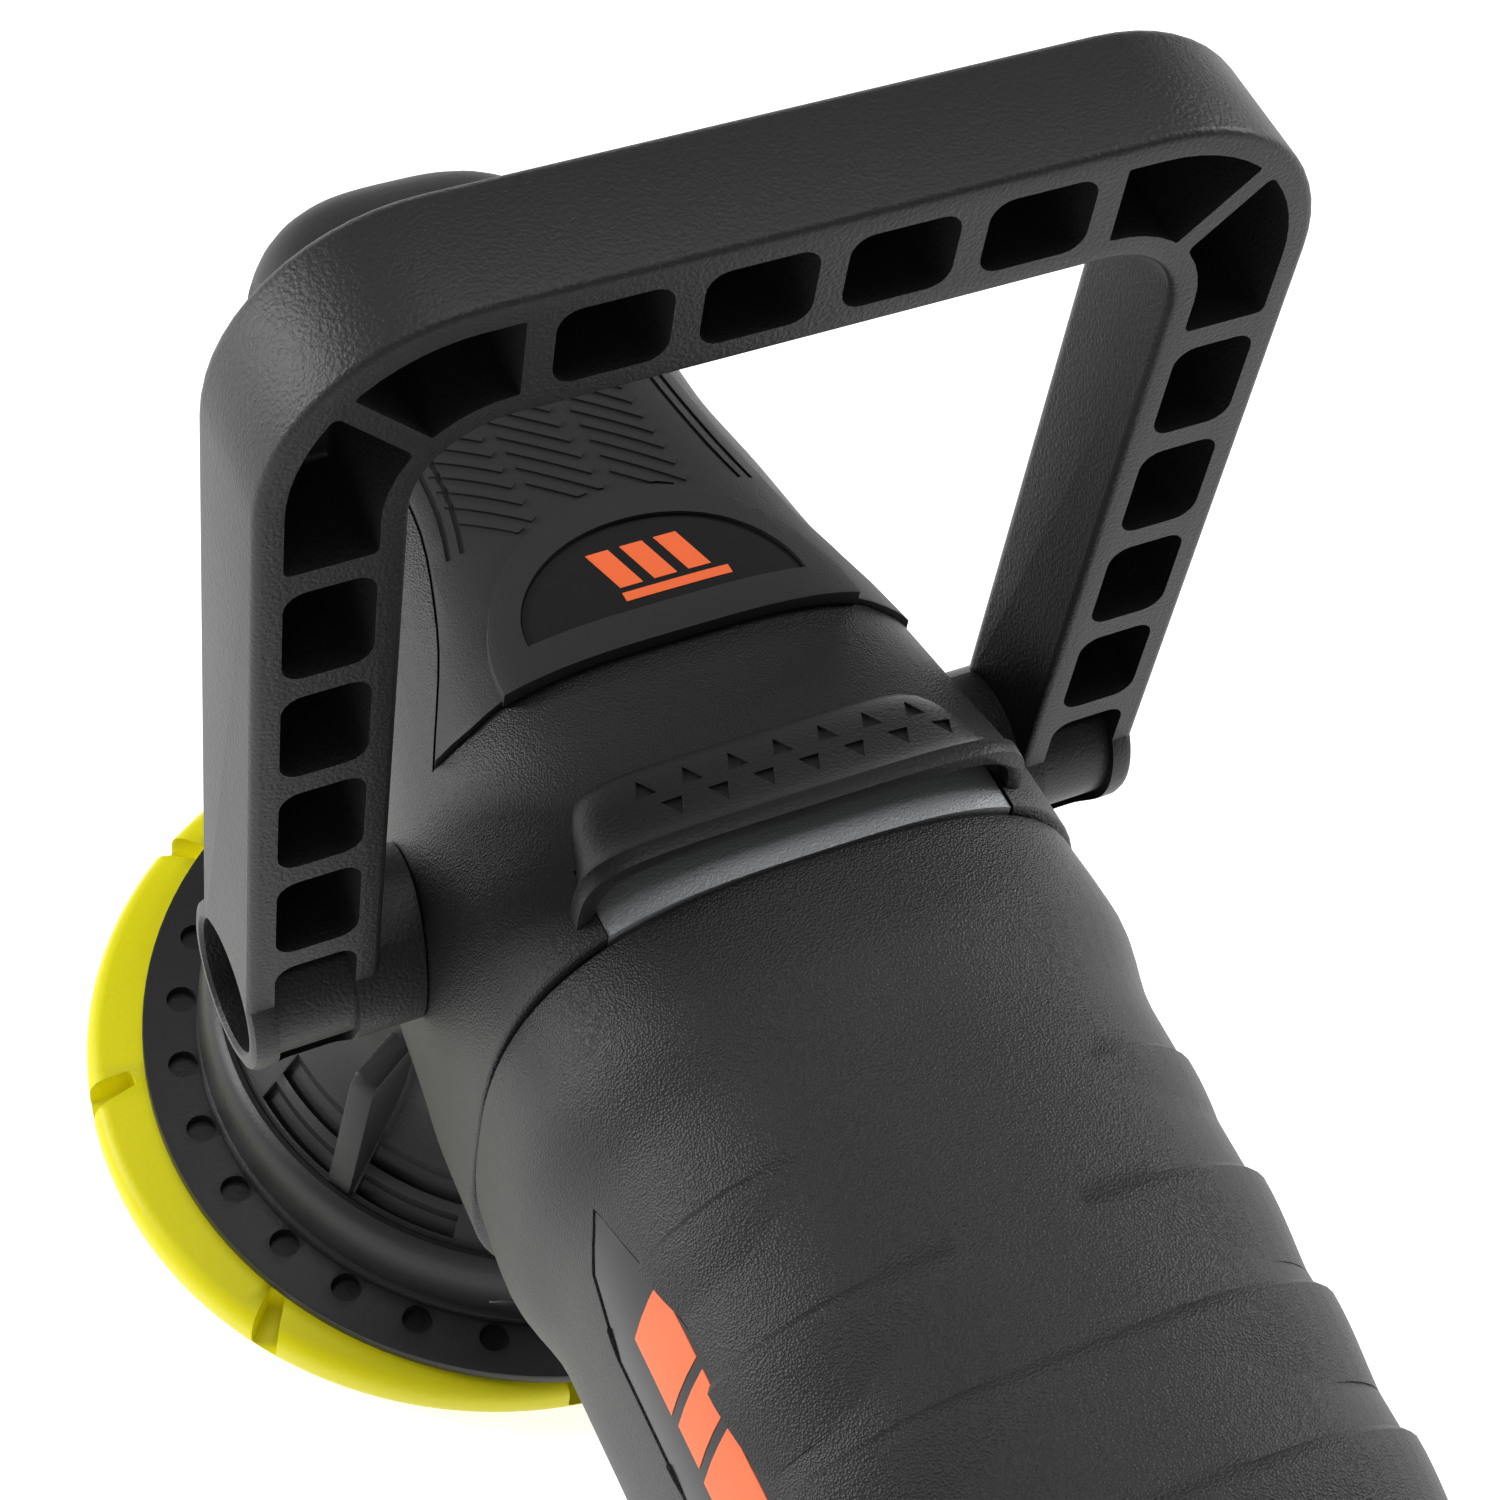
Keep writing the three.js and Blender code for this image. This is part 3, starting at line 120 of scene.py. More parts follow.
class Solid:
    """A mesh that is shaped by hand tools."""

    def __init__(self, thing: bpy.types.Object) -> None:
        """Takes over a new object.

        Args:
            thing: The mesh object.
        """
        self.thing = thing

    def pick(self) -> None:
        """Makes this the only selected object."""
        deselect()
        self.thing.select_set(True)
        bpy.context.view_layer.objects.active = self.thing

    def edit(self, action: str = "SELECT") -> None:
        """Enters edit mode.

        Args:
            action: SELECT or DESELECT, for all that is in the mesh.
        """
        self.pick()
        bpy.ops.object.mode_set(mode="EDIT")
        bpy.ops.mesh.select_mode(type="VERT")
        bpy.ops.mesh.select_all(action=action)

    def edges(self, test: Callable[[Vector, Vector], bool]) -> None:
        """Enters edit mode with some edges selected.

        Args:
            test: Says from an edge's two ends whether it is selected.
        """
        self.edit("DESELECT")
        bpy.ops.mesh.select_mode(type="EDGE")
        mesh = bmesh.from_edit_mesh(self.thing.data)
        for edge in mesh.edges:
            edge.select_set(test(edge.verts[0].co, edge.verts[1].co))
        bmesh.update_edit_mesh(self.thing.data)

    def clean(self) -> "Solid":
        """Merges doubles and turns the faces outwards."""
        self.edit()
        bpy.ops.mesh.remove_doubles(threshold=1e-3)
        bpy.ops.mesh.normals_make_consistent(inside=False)
        deselect()
        return self

    def copy(self) -> "Solid":
        """Returns a copy with its own mesh."""
        self.pick()
        bpy.ops.object.duplicate()
        return Solid(bpy.context.view_layer.objects.active)

    def move(self, x: float, y: float, z: float) -> "Solid":
        """Shifts the mesh by x, y and z."""
        self.edit()
        bpy.ops.transform.translate(value=(x, y, z))
        deselect()
        return self

    def turn(self, degrees: float, centre: Point = (0, 0, 0), axis: Axis = Axis.Z) -> "Solid":
        """Turns the mesh counter-clockwise, seen against the axis.

        Args:
            degrees: How far.
            centre: A point on the axis.
            axis: The way of the axis.

        Returns:
            This solid.
        """
        self.pick()
        about = Matrix.Translation(centre)
        spun = Matrix.Rotation(math.radians(degrees), 4, Vector(axis.value))
        self.thing.matrix_world = about @ spun @ about.inverted()
        bpy.ops.object.transform_apply()
        return self

    def mirrored(self) -> "Solid":
        """Returns a copy on the other side of x = 0."""
        other = self.copy()
        other.edit()
        bpy.ops.transform.mirror(constraint_axis=(True, False, False), center_override=(0, 0, 0))
        return other.clean()

    def modify(self, kind: str, **settings: object) -> "Solid":
        """Adds a modifier and applies it.

        Args:
            kind: The modifier's type.
            **settings: Its values.

        Returns:
            This solid.
        """
        self.pick()
        change = self.thing.modifiers.new(kind.lower(), kind)
        for name, value in settings.items():
            setattr(change, name, value)
        bpy.ops.object.modifier_apply(modifier=change.name)
        return self

    def _combine(self, operation: str, others: Sequence["Solid"]) -> "Solid":
        for other in others:
            self.modify("BOOLEAN", operation=operation, object=other.thing, solver="EXACT")
            bpy.data.objects.remove(other.thing)
        return self

    def cut(self, *others: "Solid") -> "Solid":
        """Takes other solids away from this one, and uses them up."""
        return self._combine("DIFFERENCE", others)

    def join(self, *others: "Solid") -> "Solid":
        """Joins other solids to this one, and uses them up."""
        return self._combine("UNION", others)

    def keep(self, *others: "Solid") -> "Solid":
        """Keeps what lies in the other solids too, and uses them up."""
        return self._combine("INTERSECT", others)

    def soften(self, width: float, segments: int = 2, angle: float = 40) -> "Solid":
        """Rounds the edges that are sharper than an angle.

        Args:
            width: The width of the rounding.
            segments: Its steps.
            angle: The smallest angle between faces, in degrees.

        Returns:
            This solid.
        """
        return self.modify(
            "BEVEL", width=width, segments=segments, limit_method="ANGLE", angle_limit=math.radians(angle)
        )

    def halve(self, centre: Point, normal: Point) -> "Solid":
        """Cuts away the side that a plane's normal points to, and closes the cut.

        Args:
            centre: A point in the plane.
            normal: The plane's normal.

        Returns:
            This solid.
        """
        self.edit()
        bpy.ops.mesh.bisect(plane_co=centre, plane_no=normal, use_fill=True, clear_outer=True)
        return self.clean()


def gathered(solids: Iterable[Solid]) -> Solid:
    """Puts separate solids into one mesh without joining their faces."""
    parts = list(solids)
    parts[0].pick()
    for part in parts[1:]:
        part.thing.select_set(True)
    bpy.ops.object.join()
    return parts[0]


def traced(points: Sequence[Point]) -> Solid:
    """Draws a chain of edges from point to point.

    Args:
        points: The corners in space, the first again at the end of a closed chain.

    Returns:
        The chain, still in edit mode with its last corner selected.
    """
    deselect()
    bpy.ops.mesh.primitive_plane_add(size=1, location=points[0])
    bpy.ops.object.transform_apply()
    chain = Solid(bpy.context.object)
    chain.edit()
    bpy.ops.mesh.merge(type="CENTER")
    for here, there in zip(points, points[1:]):
        step = [b - a for a, b in zip(here, there)]
        bpy.ops.mesh.extrude_region_move(TRANSFORM_OT_translate={"value": step})
    return chain


def prism(outline: Sequence[Point], low: float, high: float, axis: Axis = Axis.Z) -> Solid:
    """Draws out a closed outline.

    Args:
        outline: Its corners, the first only once.
        low: Where it starts along the axis.
        high: Where it ends.
        axis: The way it is drawn out.

    Returns:
        The closed solid.
    """
    slab = traced([axis.place(a, b, low) for a, b in outline])
    bpy.ops.mesh.select_all(action="SELECT")
    bpy.ops.mesh.edge_face_add()
    way = [(high - low) * part for part in axis.value]
    bpy.ops.mesh.extrude_region_move(TRANSFORM_OT_translate={"value": way})
    return slab.clean()


def turned(profile: Sequence[Point], sides: int = 96, axis: Axis = Axis.Z, centre: Point = (0, 0)) -> Solid:
    """Turns a profile of radius and height round an axis.

    Args:
        profile: Its corners; a ring's profile repeats its first corner at the end.
        sides: The number of sides.
        axis: The way of the axis.
        centre: Where the axis stands, as the two other coordinates.

    Returns:
        The closed solid.
    """
    a, b = centre
    wheel = traced([axis.place(a + radius, b, height) for radius, height in profile])
    bpy.ops.mesh.select_all(action="SELECT")
    bpy.ops.mesh.spin(steps=sides, angle=2 * math.pi, center=axis.place(a, b, 0), axis=axis.value)
    return wheel.clean()


def bar(
    radius: float, low: float, high: float, axis: Axis = Axis.Z, centre: Point = (0, 0), sides: int = 48
) -> Solid:
    """Makes a round bar along an axis."""
    return turned([(0, low), (radius, low), (radius, high), (0, high)], sides, axis, centre)


def block(low: Point, high: Point) -> Solid:
    """Makes a block between two corners."""
    outline = [(low[0], low[1]), (high[0], low[1]), (high[0], high[1]), (low[0], high[1])]
    return prism(outline, low[2], high[2])


def arc(centre: Point, radius: float, start: float, end: float, steps: int) -> list[Point]:
    """Returns points on an arc, with its angles in degrees.

    Args:
        centre: The arc's centre.
        radius: Its radius.
        start: The first angle.
        end: The last angle.
        steps: The number of steps between them.

    Returns:
        The points.
    """
    angles = [math.radians(start + (end - start) * i / steps) for i in range(steps + 1)]
    return [(centre[0] + radius * math.cos(a), centre[1] + radius * math.sin(a)) for a in angles]


def eased(points: Sequence[Point], spacing: float) -> list[Point]:
    """Fills in points between the given ones on a smooth curve that never overshoots.

    Args:
        points: Tuples of any length.
        spacing: The longest step that is left.

    Returns:
        The given points and those between them.
    """
    spans = [math.dist(a[:2], b[:2]) for a, b in zip(points, points[1:])]
    rates = [[(q - p) / span for p, q in zip(a, b)] for a, b, span in zip(points, points[1:], spans)]
    slopes = [rates[0]]
    for before, after in zip(rates, rates[1:]):
        slopes.append([2 * p * q / (p + q) if p * q > 0 else 0.0 for p, q in zip(before, after)])
    slopes.append(rates[-1])
    filled = [tuple(points[0])]
    for i, span in enumerate(spans):
        count = max(1, math.ceil(span / spacing))
        for k in range(1, count + 1):
            t = k / count
            weights = (2 * t**3 - 3 * t**2 + 1, t**3 - 2 * t**2 + t, 3 * t**2 - 2 * t**3, t**3 - t**2)
            values = zip(points[i], slopes[i], points[i + 1], slopes[i + 1])
            filled.append(
                tuple(
                    weights[0] * p + weights[1] * span * m + weights[2] * q + weights[3] * span * n
                    for p, m, q, n in values
                )
            )
    return filled


def strip(line: Sequence[Point], width: float) -> list[Point]:
    """Returns the outline of a band of one width along a line."""
    left, right = [], []
    for i, (x, y) in enumerate(line):
        before, after = line[max(i - 1, 0)], line[min(i + 1, len(line) - 1)]
        way = Vector((after[0] - before[0], after[1] - before[1])).normalized() * width / 2
        left.append((x - way.y, y + way.x))
        right.append((x + way.y, y - way.x))
    return left + right[::-1]


@dataclass(frozen=True)
class Casing:
    """A casing drawn through sections of y, half width, top and bottom."""

    sections: tuple[Point, ...]
    squareness: float  # 2 is an ellipse, higher is boxier
    spacing: float = 3.0
    sides: int = 96

    def skin(self, grow: float = 0.0, front: float = 0.0, rear: float = 0.0) -> Solid:
        """Lofts the closed solid.

        Args:
            grow: How far it stands outside the sections.
            front: How far its first section is drawn forwards.
            rear: How far its last section is drawn backwards.

        Returns:
            The solid.
        """
        rows = [(y, w + grow, t + grow, b - grow) for y, w, t, b in eased(self.sections, self.spacing)]
        if front:
            rows.insert(0, (rows[0][0] + front, *rows[0][1:]))
        if rear:
            rows.append((rows[-1][0] - rear, *rows[-1][1:]))
        deselect()
        bpy.ops.mesh.primitive_plane_add(size=2, rotation=(math.pi / 2, 0, 0))
        bpy.ops.object.transform_apply()
        body = Solid(bpy.context.object)
        body.edit()
        bpy.ops.mesh.bevel(
            offset_type="PERCENT", offset_pct=49.999, segments=self.sides // 4,
            profile=4 ** (-1 / self.squareness), affect="VERTICES", clamp_overlap=False,
        )
        bpy.ops.mesh.select_all(action="SELECT")
        bpy.ops.mesh.remove_doubles(threshold=1e-3)
        y, wide, top, low = rows[0]
        bpy.ops.transform.resize(value=(wide, 1, (top - low) / 2), center_override=(0, 0, 0))
        bpy.ops.transform.translate(value=(0, y, (top + low) / 2))
        for before, after in zip(rows, rows[1:]):
            middle = (after[2] + after[3]) / 2
            rise = middle - (before[2] + before[3]) / 2
            bpy.ops.mesh.extrude_region_move(
                TRANSFORM_OT_translate={"value": (0, after[0] - before[0], rise)}
            )
            share = (after[2] - after[3]) / (before[2] - before[3])
            bpy.ops.transform.resize(
                value=(after[1] / before[1], 1, share), center_override=(0, after[0], middle)
            )
        return body.clean()

    def band(self, outside: float, inside: float, region: Solid) -> Solid:
        """Keeps the part of a region that lies between two offsets of the skin.

        Args:
            outside: The outer offset.
            inside: The inner offset.
            region: The solid to trim, which is used up.

        Returns:
            The trimmed solid.
        """
        return region.keep(self.skin(outside)).cut(self.skin(inside))


# ------------------------------------------------------------------ finishes


@dataclass(frozen=True)
class Finish:
    """A surface with its colour, gloss and small pattern."""

    name: str
    colour: Point
    roughness: float
    metallic: float = 0.0
    grain: Grain = Grain.FINE
    size: float = 0.5  # mm across one grain
    depth: float = 0.03  # mm
    drift: float = 0.12  # share by which the colour varies over the surface
    specular: float = 0.5
    coat: float = 0.0
    sheen: float = 0.0

    def material(self) -> bpy.types.Material:
        """Returns the material, made on its first use."""
        made = bpy.data.materials.get(f"{self.name}_finish")
        return made or self._build()

    def _build(self) -> bpy.types.Material:
        material = bpy.data.materials.new(f"{self.name}_finish")
        material.use_nodes = True
        nodes, links = material.node_tree.nodes, material.node_tree.links
        shader = nodes["Principled BSDF"]
        shader.inputs["Metallic"].default_value = self.metallic
        shader.inputs["Specular IOR Level"].default_value = self.specular
        shader.inputs["Coat Weight"].default_value = self.coat
        shader.inputs["Sheen Weight"].default_value = self.sheen
        place = nodes.new("ShaderNodeTexCoord").outputs["Object"]
        cloud = nodes.new("ShaderNodeTexNoise")
        cloud.inputs["Scale"].default_value = 28
        cloud.inputs["Detail"].default_value = 6
        links.new(place, cloud.inputs["Vector"])
        height = self._pattern(nodes, links, place)
        tint = nodes.new("ShaderNodeMix")
        tint.data_type = "RGBA"
        tint.inputs["A"].default_value = (*[c * (1 - self.drift) for c in self.colour], 1)
        tint.inputs["B"].default_value = (*[min(1, c * (1 + self.drift)) for c in self.colour], 1)
        blend = nodes.new("ShaderNodeMath")
        blend.operation = "MULTIPLY_ADD"
        blend.inputs[1].default_value = 0.5
        links.new(height, blend.inputs[0])
        half = nodes.new("ShaderNodeMath")
        half.operation = "MULTIPLY"
        half.inputs[1].default_value = 0.5
        links.new(cloud.outputs["Fac"], half.inputs[0])
        links.new(half.outputs[0], blend.inputs[2])
        links.new(blend.outputs[0], tint.inputs["Factor"])
        links.new(tint.outputs["Result"], shader.inputs["Base Color"])
        gloss = nodes.new("ShaderNodeMapRange")
        gloss.inputs["To Min"].default_value = max(0.02, self.roughness - 0.07)
        gloss.inputs["To Max"].default_value = min(1.0, self.roughness + 0.07)
        links.new(blend.outputs[0], gloss.inputs["Value"])
        links.new(gloss.outputs["Result"], shader.inputs["Roughness"])
        bump = nodes.new("ShaderNodeBump")
        bump.inputs["Distance"].default_value = self.depth * MILLIMETRE
        bump.inputs["Strength"].default_value = 1.0
        links.new(height, bump.inputs["Height"])
        links.new(bump.outputs["Normal"], shader.inputs["Normal"])
        return material

    def _pattern(self, nodes: object, links: object, place: object) -> object:
        scale = 1 / (self.size * MILLIMETRE)
        stretch = nodes.new("ShaderNodeMapping")
        stretch.inputs["Scale"].default_value = (scale, scale, scale)
        links.new(place, stretch.inputs["Vector"])
        if self.grain is Grain.BRUSHED:
            stretch.inputs["Scale"].default_value = (scale * 0.04, scale * 0.04, scale)
        if self.grain in (Grain.LEATHER, Grain.LOOPS):
            cells = nodes.new("ShaderNodeTexVoronoi")
            cells.inputs["Scale"].default_value = 1
            links.new(stretch.outputs["Vector"], cells.inputs["Vector"])
            return cells.outputs["Distance"]
        if self.grain is Grain.WINDING:
            turns = nodes.new("ShaderNodeTexWave")
            turns.inputs["Scale"].default_value = 1
            turns.inputs["Distortion"].default_value = 0.6
            links.new(stretch.outputs["Vector"], turns.inputs["Vector"])
            return turns.outputs["Fac"]
        noise = nodes.new("ShaderNodeTexNoise")
        noise.inputs["Scale"].default_value = 1
        noise.inputs["Detail"].default_value = 8 if self.grain is Grain.CAST else 3
        links.new(stretch.outputs["Vector"], noise.inputs["Vector"])
        return noise.outputs["Fac"]


GRAINED = Finish("grained_plastic", (0.015, 0.015, 0.0155), 0.46, grain=Grain.LEATHER, size=0.3, depth=0.09, specular=0.4)
SATIN = Finish("satin_plastic", (0.016, 0.016, 0.0165), 0.44, size=0.5, depth=0.12, specular=0.35)
SHROUD = Finish("shroud_plastic", (0.017, 0.017, 0.0175), 0.42, size=0.6, depth=0.04, specular=0.35)
SOFT = Finish("soft_rubber", (0.019, 0.019, 0.0195), 0.52, size=0.3, depth=0.06, specular=0.35)
PLATE = Finish("gloss_plate", (0.011, 0.011, 0.012), 0.2, size=4, depth=0.01, specular=0.4)
ORANGE = Finish("orange_print", (0.93, 0.155, 0.040), 0.45, size=0.6, depth=0.01, drift=0.05)
YELLOW = Finish("yellow_urethane", (0.78, 0.72, 0.004), 0.42, size=0.9, depth=0.05, drift=0.06, specular=0.25)
HOOKS = Finish("hook_face", (0.012, 0.012, 0.012), 0.9, grain=Grain.LOOPS, size=0.9, depth=0.6, sheen=0.3)
CAST = Finish("cast_aluminium", (0.38, 0.39, 0.40), 0.55, 0.4, Grain.CAST, size=0.35, depth=0.15, drift=0.35)
STEEL = Finish("ground_steel", (0.52, 0.53, 0.54), 0.28, 1.0, Grain.BRUSHED, size=0.12, depth=0.01)
BLACKENED = Finish("blackened_steel", (0.05, 0.05, 0.055), 0.38, 0.8, Grain.FINE, size=0.4, depth=0.02)
COPPER = Finish("turned_copper", (0.72, 0.36, 0.18), 0.3, 1.0, Grain.BRUSHED, size=0.2, depth=0.01)
WIRE = Finish("enamelled_wire", (0.32, 0.09, 0.03), 0.3, grain=Grain.WINDING, size=1.4, depth=0.5, coat=0.4)
CARBON = Finish("pressed_carbon", (0.02, 0.02, 0.02), 0.6, grain=Grain.CAST, size=0.3, depth=0.04)
BRASS = Finish("drawn_brass", (0.55, 0.42, 0.13), 0.3, 1.0, Grain.BRUSHED, size=0.15, depth=0.01)
NYLON = Finish("filled_nylon", (0.014, 0.014, 0.015), 0.48, size=0.35, depth=0.04)
BOARD = Finish("fibre_board", (0.02, 0.12, 0.05), 0.5, grain=Grain.WINDING, size=1.0, depth=0.03)

SLOT_FINISH = {
    "grained_plastic": GRAINED, "smooth_plastic": SATIN, "soft_rubber": SOFT, "gloss_plate": PLATE,
    "yellow_foam": YELLOW, "hook_fabric": HOOKS, "cast_aluminium": CAST, "steel": STEEL,
    "black_steel": BLACKENED, "copper": COPPER, "enamelled_wire": WIRE, "carbon": CARBON,
    "brass": BRASS, "nylon": NYLON, "fibre_board": BOARD,
}


def show(
    solid: Solid, name: str, finish: Finish, body: str = "tool_body",
    replaced: Sequence[str] = (), angle: float = 32,
) -> None:
    """Finishes a piece: metres, shading, material and body.

    Args:
        solid: The shaped solid, in millimetres.
        name: The piece's name.
        finish: What it is made of.
        body: The moving body that it rides on.
        replaced: The CAD nodes that it stands for.
        angle: Edges sharper than this stay crisp, in degrees.
    """
    solid.pick()
    thing = solid.thing
    thing.scale = (MILLIMETRE,) * 3
    bpy.ops.object.transform_apply()
    bpy.ops.object.shade_smooth_by_angle(angle=math.radians(angle))
    thing.name = name
    thing.data.name = name
    thing.data.materials.clear()
    thing.data.materials.append(finish.material())
    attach(thing, body)
    if replaced:
        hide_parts(*replaced)
    LOG.info("%s: %d faces", name, len(thing.data.polygons))


# ------------------------------------------------------------------ sub-assemblies


@dataclass
class Head:
    """The gear head's cover, the soft nose cover with its badge, and the vent hood."""

    casing: Casing = Casing(
        (
            (79.4, 3, 111, 100), (79, 8, 115.5, 97), (77.5, 14, 119.5, 92.5), (73, 20.5, 123.2, 87.5),
            (65, 25, 125.4, 82), (47, 28, 127.5, 74), (26, 29, 130, 66), (10, 31.5, 132.5, 60),
            (-6, 34.5, 134.3, 50.5), (-22, 37.6, 136.1, 50.5), (-38, 39.4, 138.7, 50.5),
            (-48, 40.6, 140.2, 50.5), (-60, 41, 140.5, 50.5),
        ),
        squareness=3.2,
    )
    skirt: float = 62.0
    wall: float = 3.0
    seam: float = 0.3
    cover_side: tuple[Point, ...] = ((33, -23), (25.5, -5), (21.5, 13), (20.5, 32), (22, 52), (24, 83))
    cover_rear: float = 3.7  # rise of the rear seam at its middle
    proud: float = 0.8
    depth: float = 1.3
    badge: Point = (18.8, 14.5, -17.3)  # half width, length, rear edge
    vent: float = 27.0
    lean: float = 0.92  # drop of a panel bar for each step to the right
    columns: tuple[float, ...] = (-13.9, -3.35, 7.7)
    panel: tuple[Point, ...] = (
        (-20.4, 2), (-15.5, -0.3), (-8, 3.4), (0, 4.6), (8, 3.2), (14.2, 0), (12.8, 12), (11.6, 32), (12.6, 56),
        (-17, 56), (-17, 32), (-18.6, 12),
    )
    bolt: Point = (-29.6, MOTOR_Z + 2.5)

    def cover_outline(self, grow: float) -> list[Point]:
        """Returns the nose cover's outline seen from above, grown by a distance."""
        right = [(x + grow, y) for x, y in eased(self.cover_side, 4)]
        left = [(-x, y) for x, y in reversed(right)]
        corner = self.cover_side[0][0] + grow
        rear = []
        for i in range(1, 16):
            t = i / 16
            rear.append((corner * (2 * t - 1), -24 - grow + self.cover_rear * 4 * t * (1 - t)))
        return right + left + rear

    def badge_outline(self, grow: float) -> list[Point]:
        """Returns the badge's half ellipse seen from above, grown by a distance."""
        wide, long, rear = self.badge
        curve = arc((0, 0), 1, 0, 180, 36)
        return [(x * (wide + grow), rear - grow + y * (long + 2 * grow)) for x, y in curve]

    def cover(self) -> Solid:
        """Makes the head's moulded cover."""
        shell = self.casing.skin().soften(0.5, 3, 60).halve((0, 0, self.skirt), (0, 0, -1))
        inner = Casing(self.casing.sections[3:], self.casing.squareness)
        shell.cut(inner.skin(-self.wall, rear=5))
        seat = prism(self.cover_outline(self.seam), 100, 160).cut(self.casing.skin(-self.depth - self.seam))
        vent = block((-self.vent, -62, MOTOR_Z + 25), (self.vent, -50, 160))
        bores = bar(4.6, -60, 60, Axis.X, self.bolt)
        slot = prism(strip([(-5, 71.6), (7, 71.6)], 0.8), 110, 160).cut(self.casing.skin(-1))
        return shell.cut(seat, vent, bores, slot)

    def nose(self) -> Solid:
        """Makes the soft nose cover with its badge seat, panel bars and grooves."""
        cover = prism(self.cover_outline(0), 100, 160)
        cover = self.casing.band(self.proud, -self.depth, cover).soften(0.4, 2, 50)
        island = self.casing.band(self.proud + 1.5, self.proud - 0.5, prism(self.badge_outline(5.6), 100, 160))
        cover.join(island.soften(1.1, 4, 50))
        seat = prism(self.badge_outline(self.seam), 100, 160).cut(self.casing.skin(self.proud + 0.3))
        cover.cut(seat)
        cover.join(self.casing.band(self.proud + 0.35, self.proud - 0.4, self.bars()))
        cover.cut(self.grooves().cut(self.casing.skin(self.proud - 0.45)))
        return cover

    def panel_side(self, inset: float) -> list[Point]:
        """Returns the right edge of the bar panel, set in from the cover's side."""
        return [(x - inset, y) for x, y in eased(self.cover_side, 4) if 1 < y < 58]

    def bars(self) -> Solid:
        """Makes the three columns of slanted bars, as tall prisms."""
        made = []
        for middle in self.columns:
            for row in range(17):
                y = 5.4 + row * 3.25 - 0.18 * abs(middle + 3)
                half = 4.4 - 0.01 * y
                drop = self.lean * half
                made.append(prism(strip([(middle - half, y + drop), (middle + half, y - drop)], 1.1), 100, 160))
        panel = prism(self.panel, 100, 160)
        return gathered(made).keep(panel)

    def grooves(self) -> Solid:
        """Makes the double grooves on both sides of the panel, as tall prisms."""
        made = []
        for inset in (2.2, 4.0):
            line = self.panel_side(inset)
            for side in (-1, 1):
                made.append(prism(strip([(side * x, y) for x, y in line], 0.7), 100, 160))
        return gathered(made)

    def badge_plate(self) -> Solid:
        """Makes the gloss plate in the nose cover."""
        plate = prism(self.badge_outline(0), 100, 160)
        return self.casing.band(self.proud + 0.95, self.proud + 0.4, plate)

    def badge_print(self) -> Solid:
        """Makes the plain orange shapes on the plate."""
        shapes = []
        for i in range(3):
            left = -6.7 + i * 4.7
            outline = [(left, -6.6), (left + 3.1, -6.6), (left + 5.0, -13.3), (left + 1.9, -13.3)]
            shapes.append(prism(outline, 100, 160))
        shapes.append(prism([(-5, -14.2), (9.6, -14.2), (9.6, -15.7), (-5, -15.7)], 100, 160))
        return self.casing.band(self.proud + 1.05, self.proud + 0.8, gathered(shapes))

    def hood(self) -> Solid:
        """Makes the raised hood over the vent with its small triangles."""
        sections = (
            (-40.6, 22.4, 138.2, 120), (-41.0, 23.4, 139.4, 120), (-54.6, 29.0, 145.5, 120),
            (-54.8, 29.5, 146.0, 120), (-57, 29.5, 146.0, 120),
        )
        outer = Casing(sections, 5, 1.5)
        inner = Casing(((-47, 25.8, 142, 120), *sections[2:]), 5, 1.5)
        shell = outer.skin().cut(inner.skin(-2, front=0, rear=4), self.casing.skin(0.1))
        shell.soften(0.35, 2, 40)
        made = []
        for i in range(7):
            x = -18 + i * 6
            made.append(prism([(x, -46.6), (x + 2.7, -46.6), (x + 1.35, -43.6)], 136, 150))
            made.append(prism([(x + 2.3, -48.4), (x + 5.0, -48.4), (x + 3.65, -51.4)], 136, 150))
        return shell.cut(gathered(made).cut(outer.skin(-0.5)))

    def mesh(self) -> Solid:
        """Makes the pale plate that closes the vent under the hood."""
        plate = block((-self.vent + 0.3, -59.8, 120), (self.vent - 0.3, -50.3, 160))
        return self.casing.band(-0.4, -2.2, plate)

    def build(self) -> None:
        """Makes and dresses every piece of the head."""
        show(self.cover(), "head_cover_shell", GRAINED, replaced=["head_cover"])
        show(self.nose(), "nose_cover_soft", SOFT, replaced=["nose_cover"])
        show(self.badge_plate(), "badge_gloss", PLATE, replaced=["badge_plate"])
        show(self.badge_print(), "badge_print", ORANGE)
        show(self.hood(), "vent_hood_shell", SATIN, replaced=["vent_hood"])
        show(self.mesh(), "vent_plate", CAST)


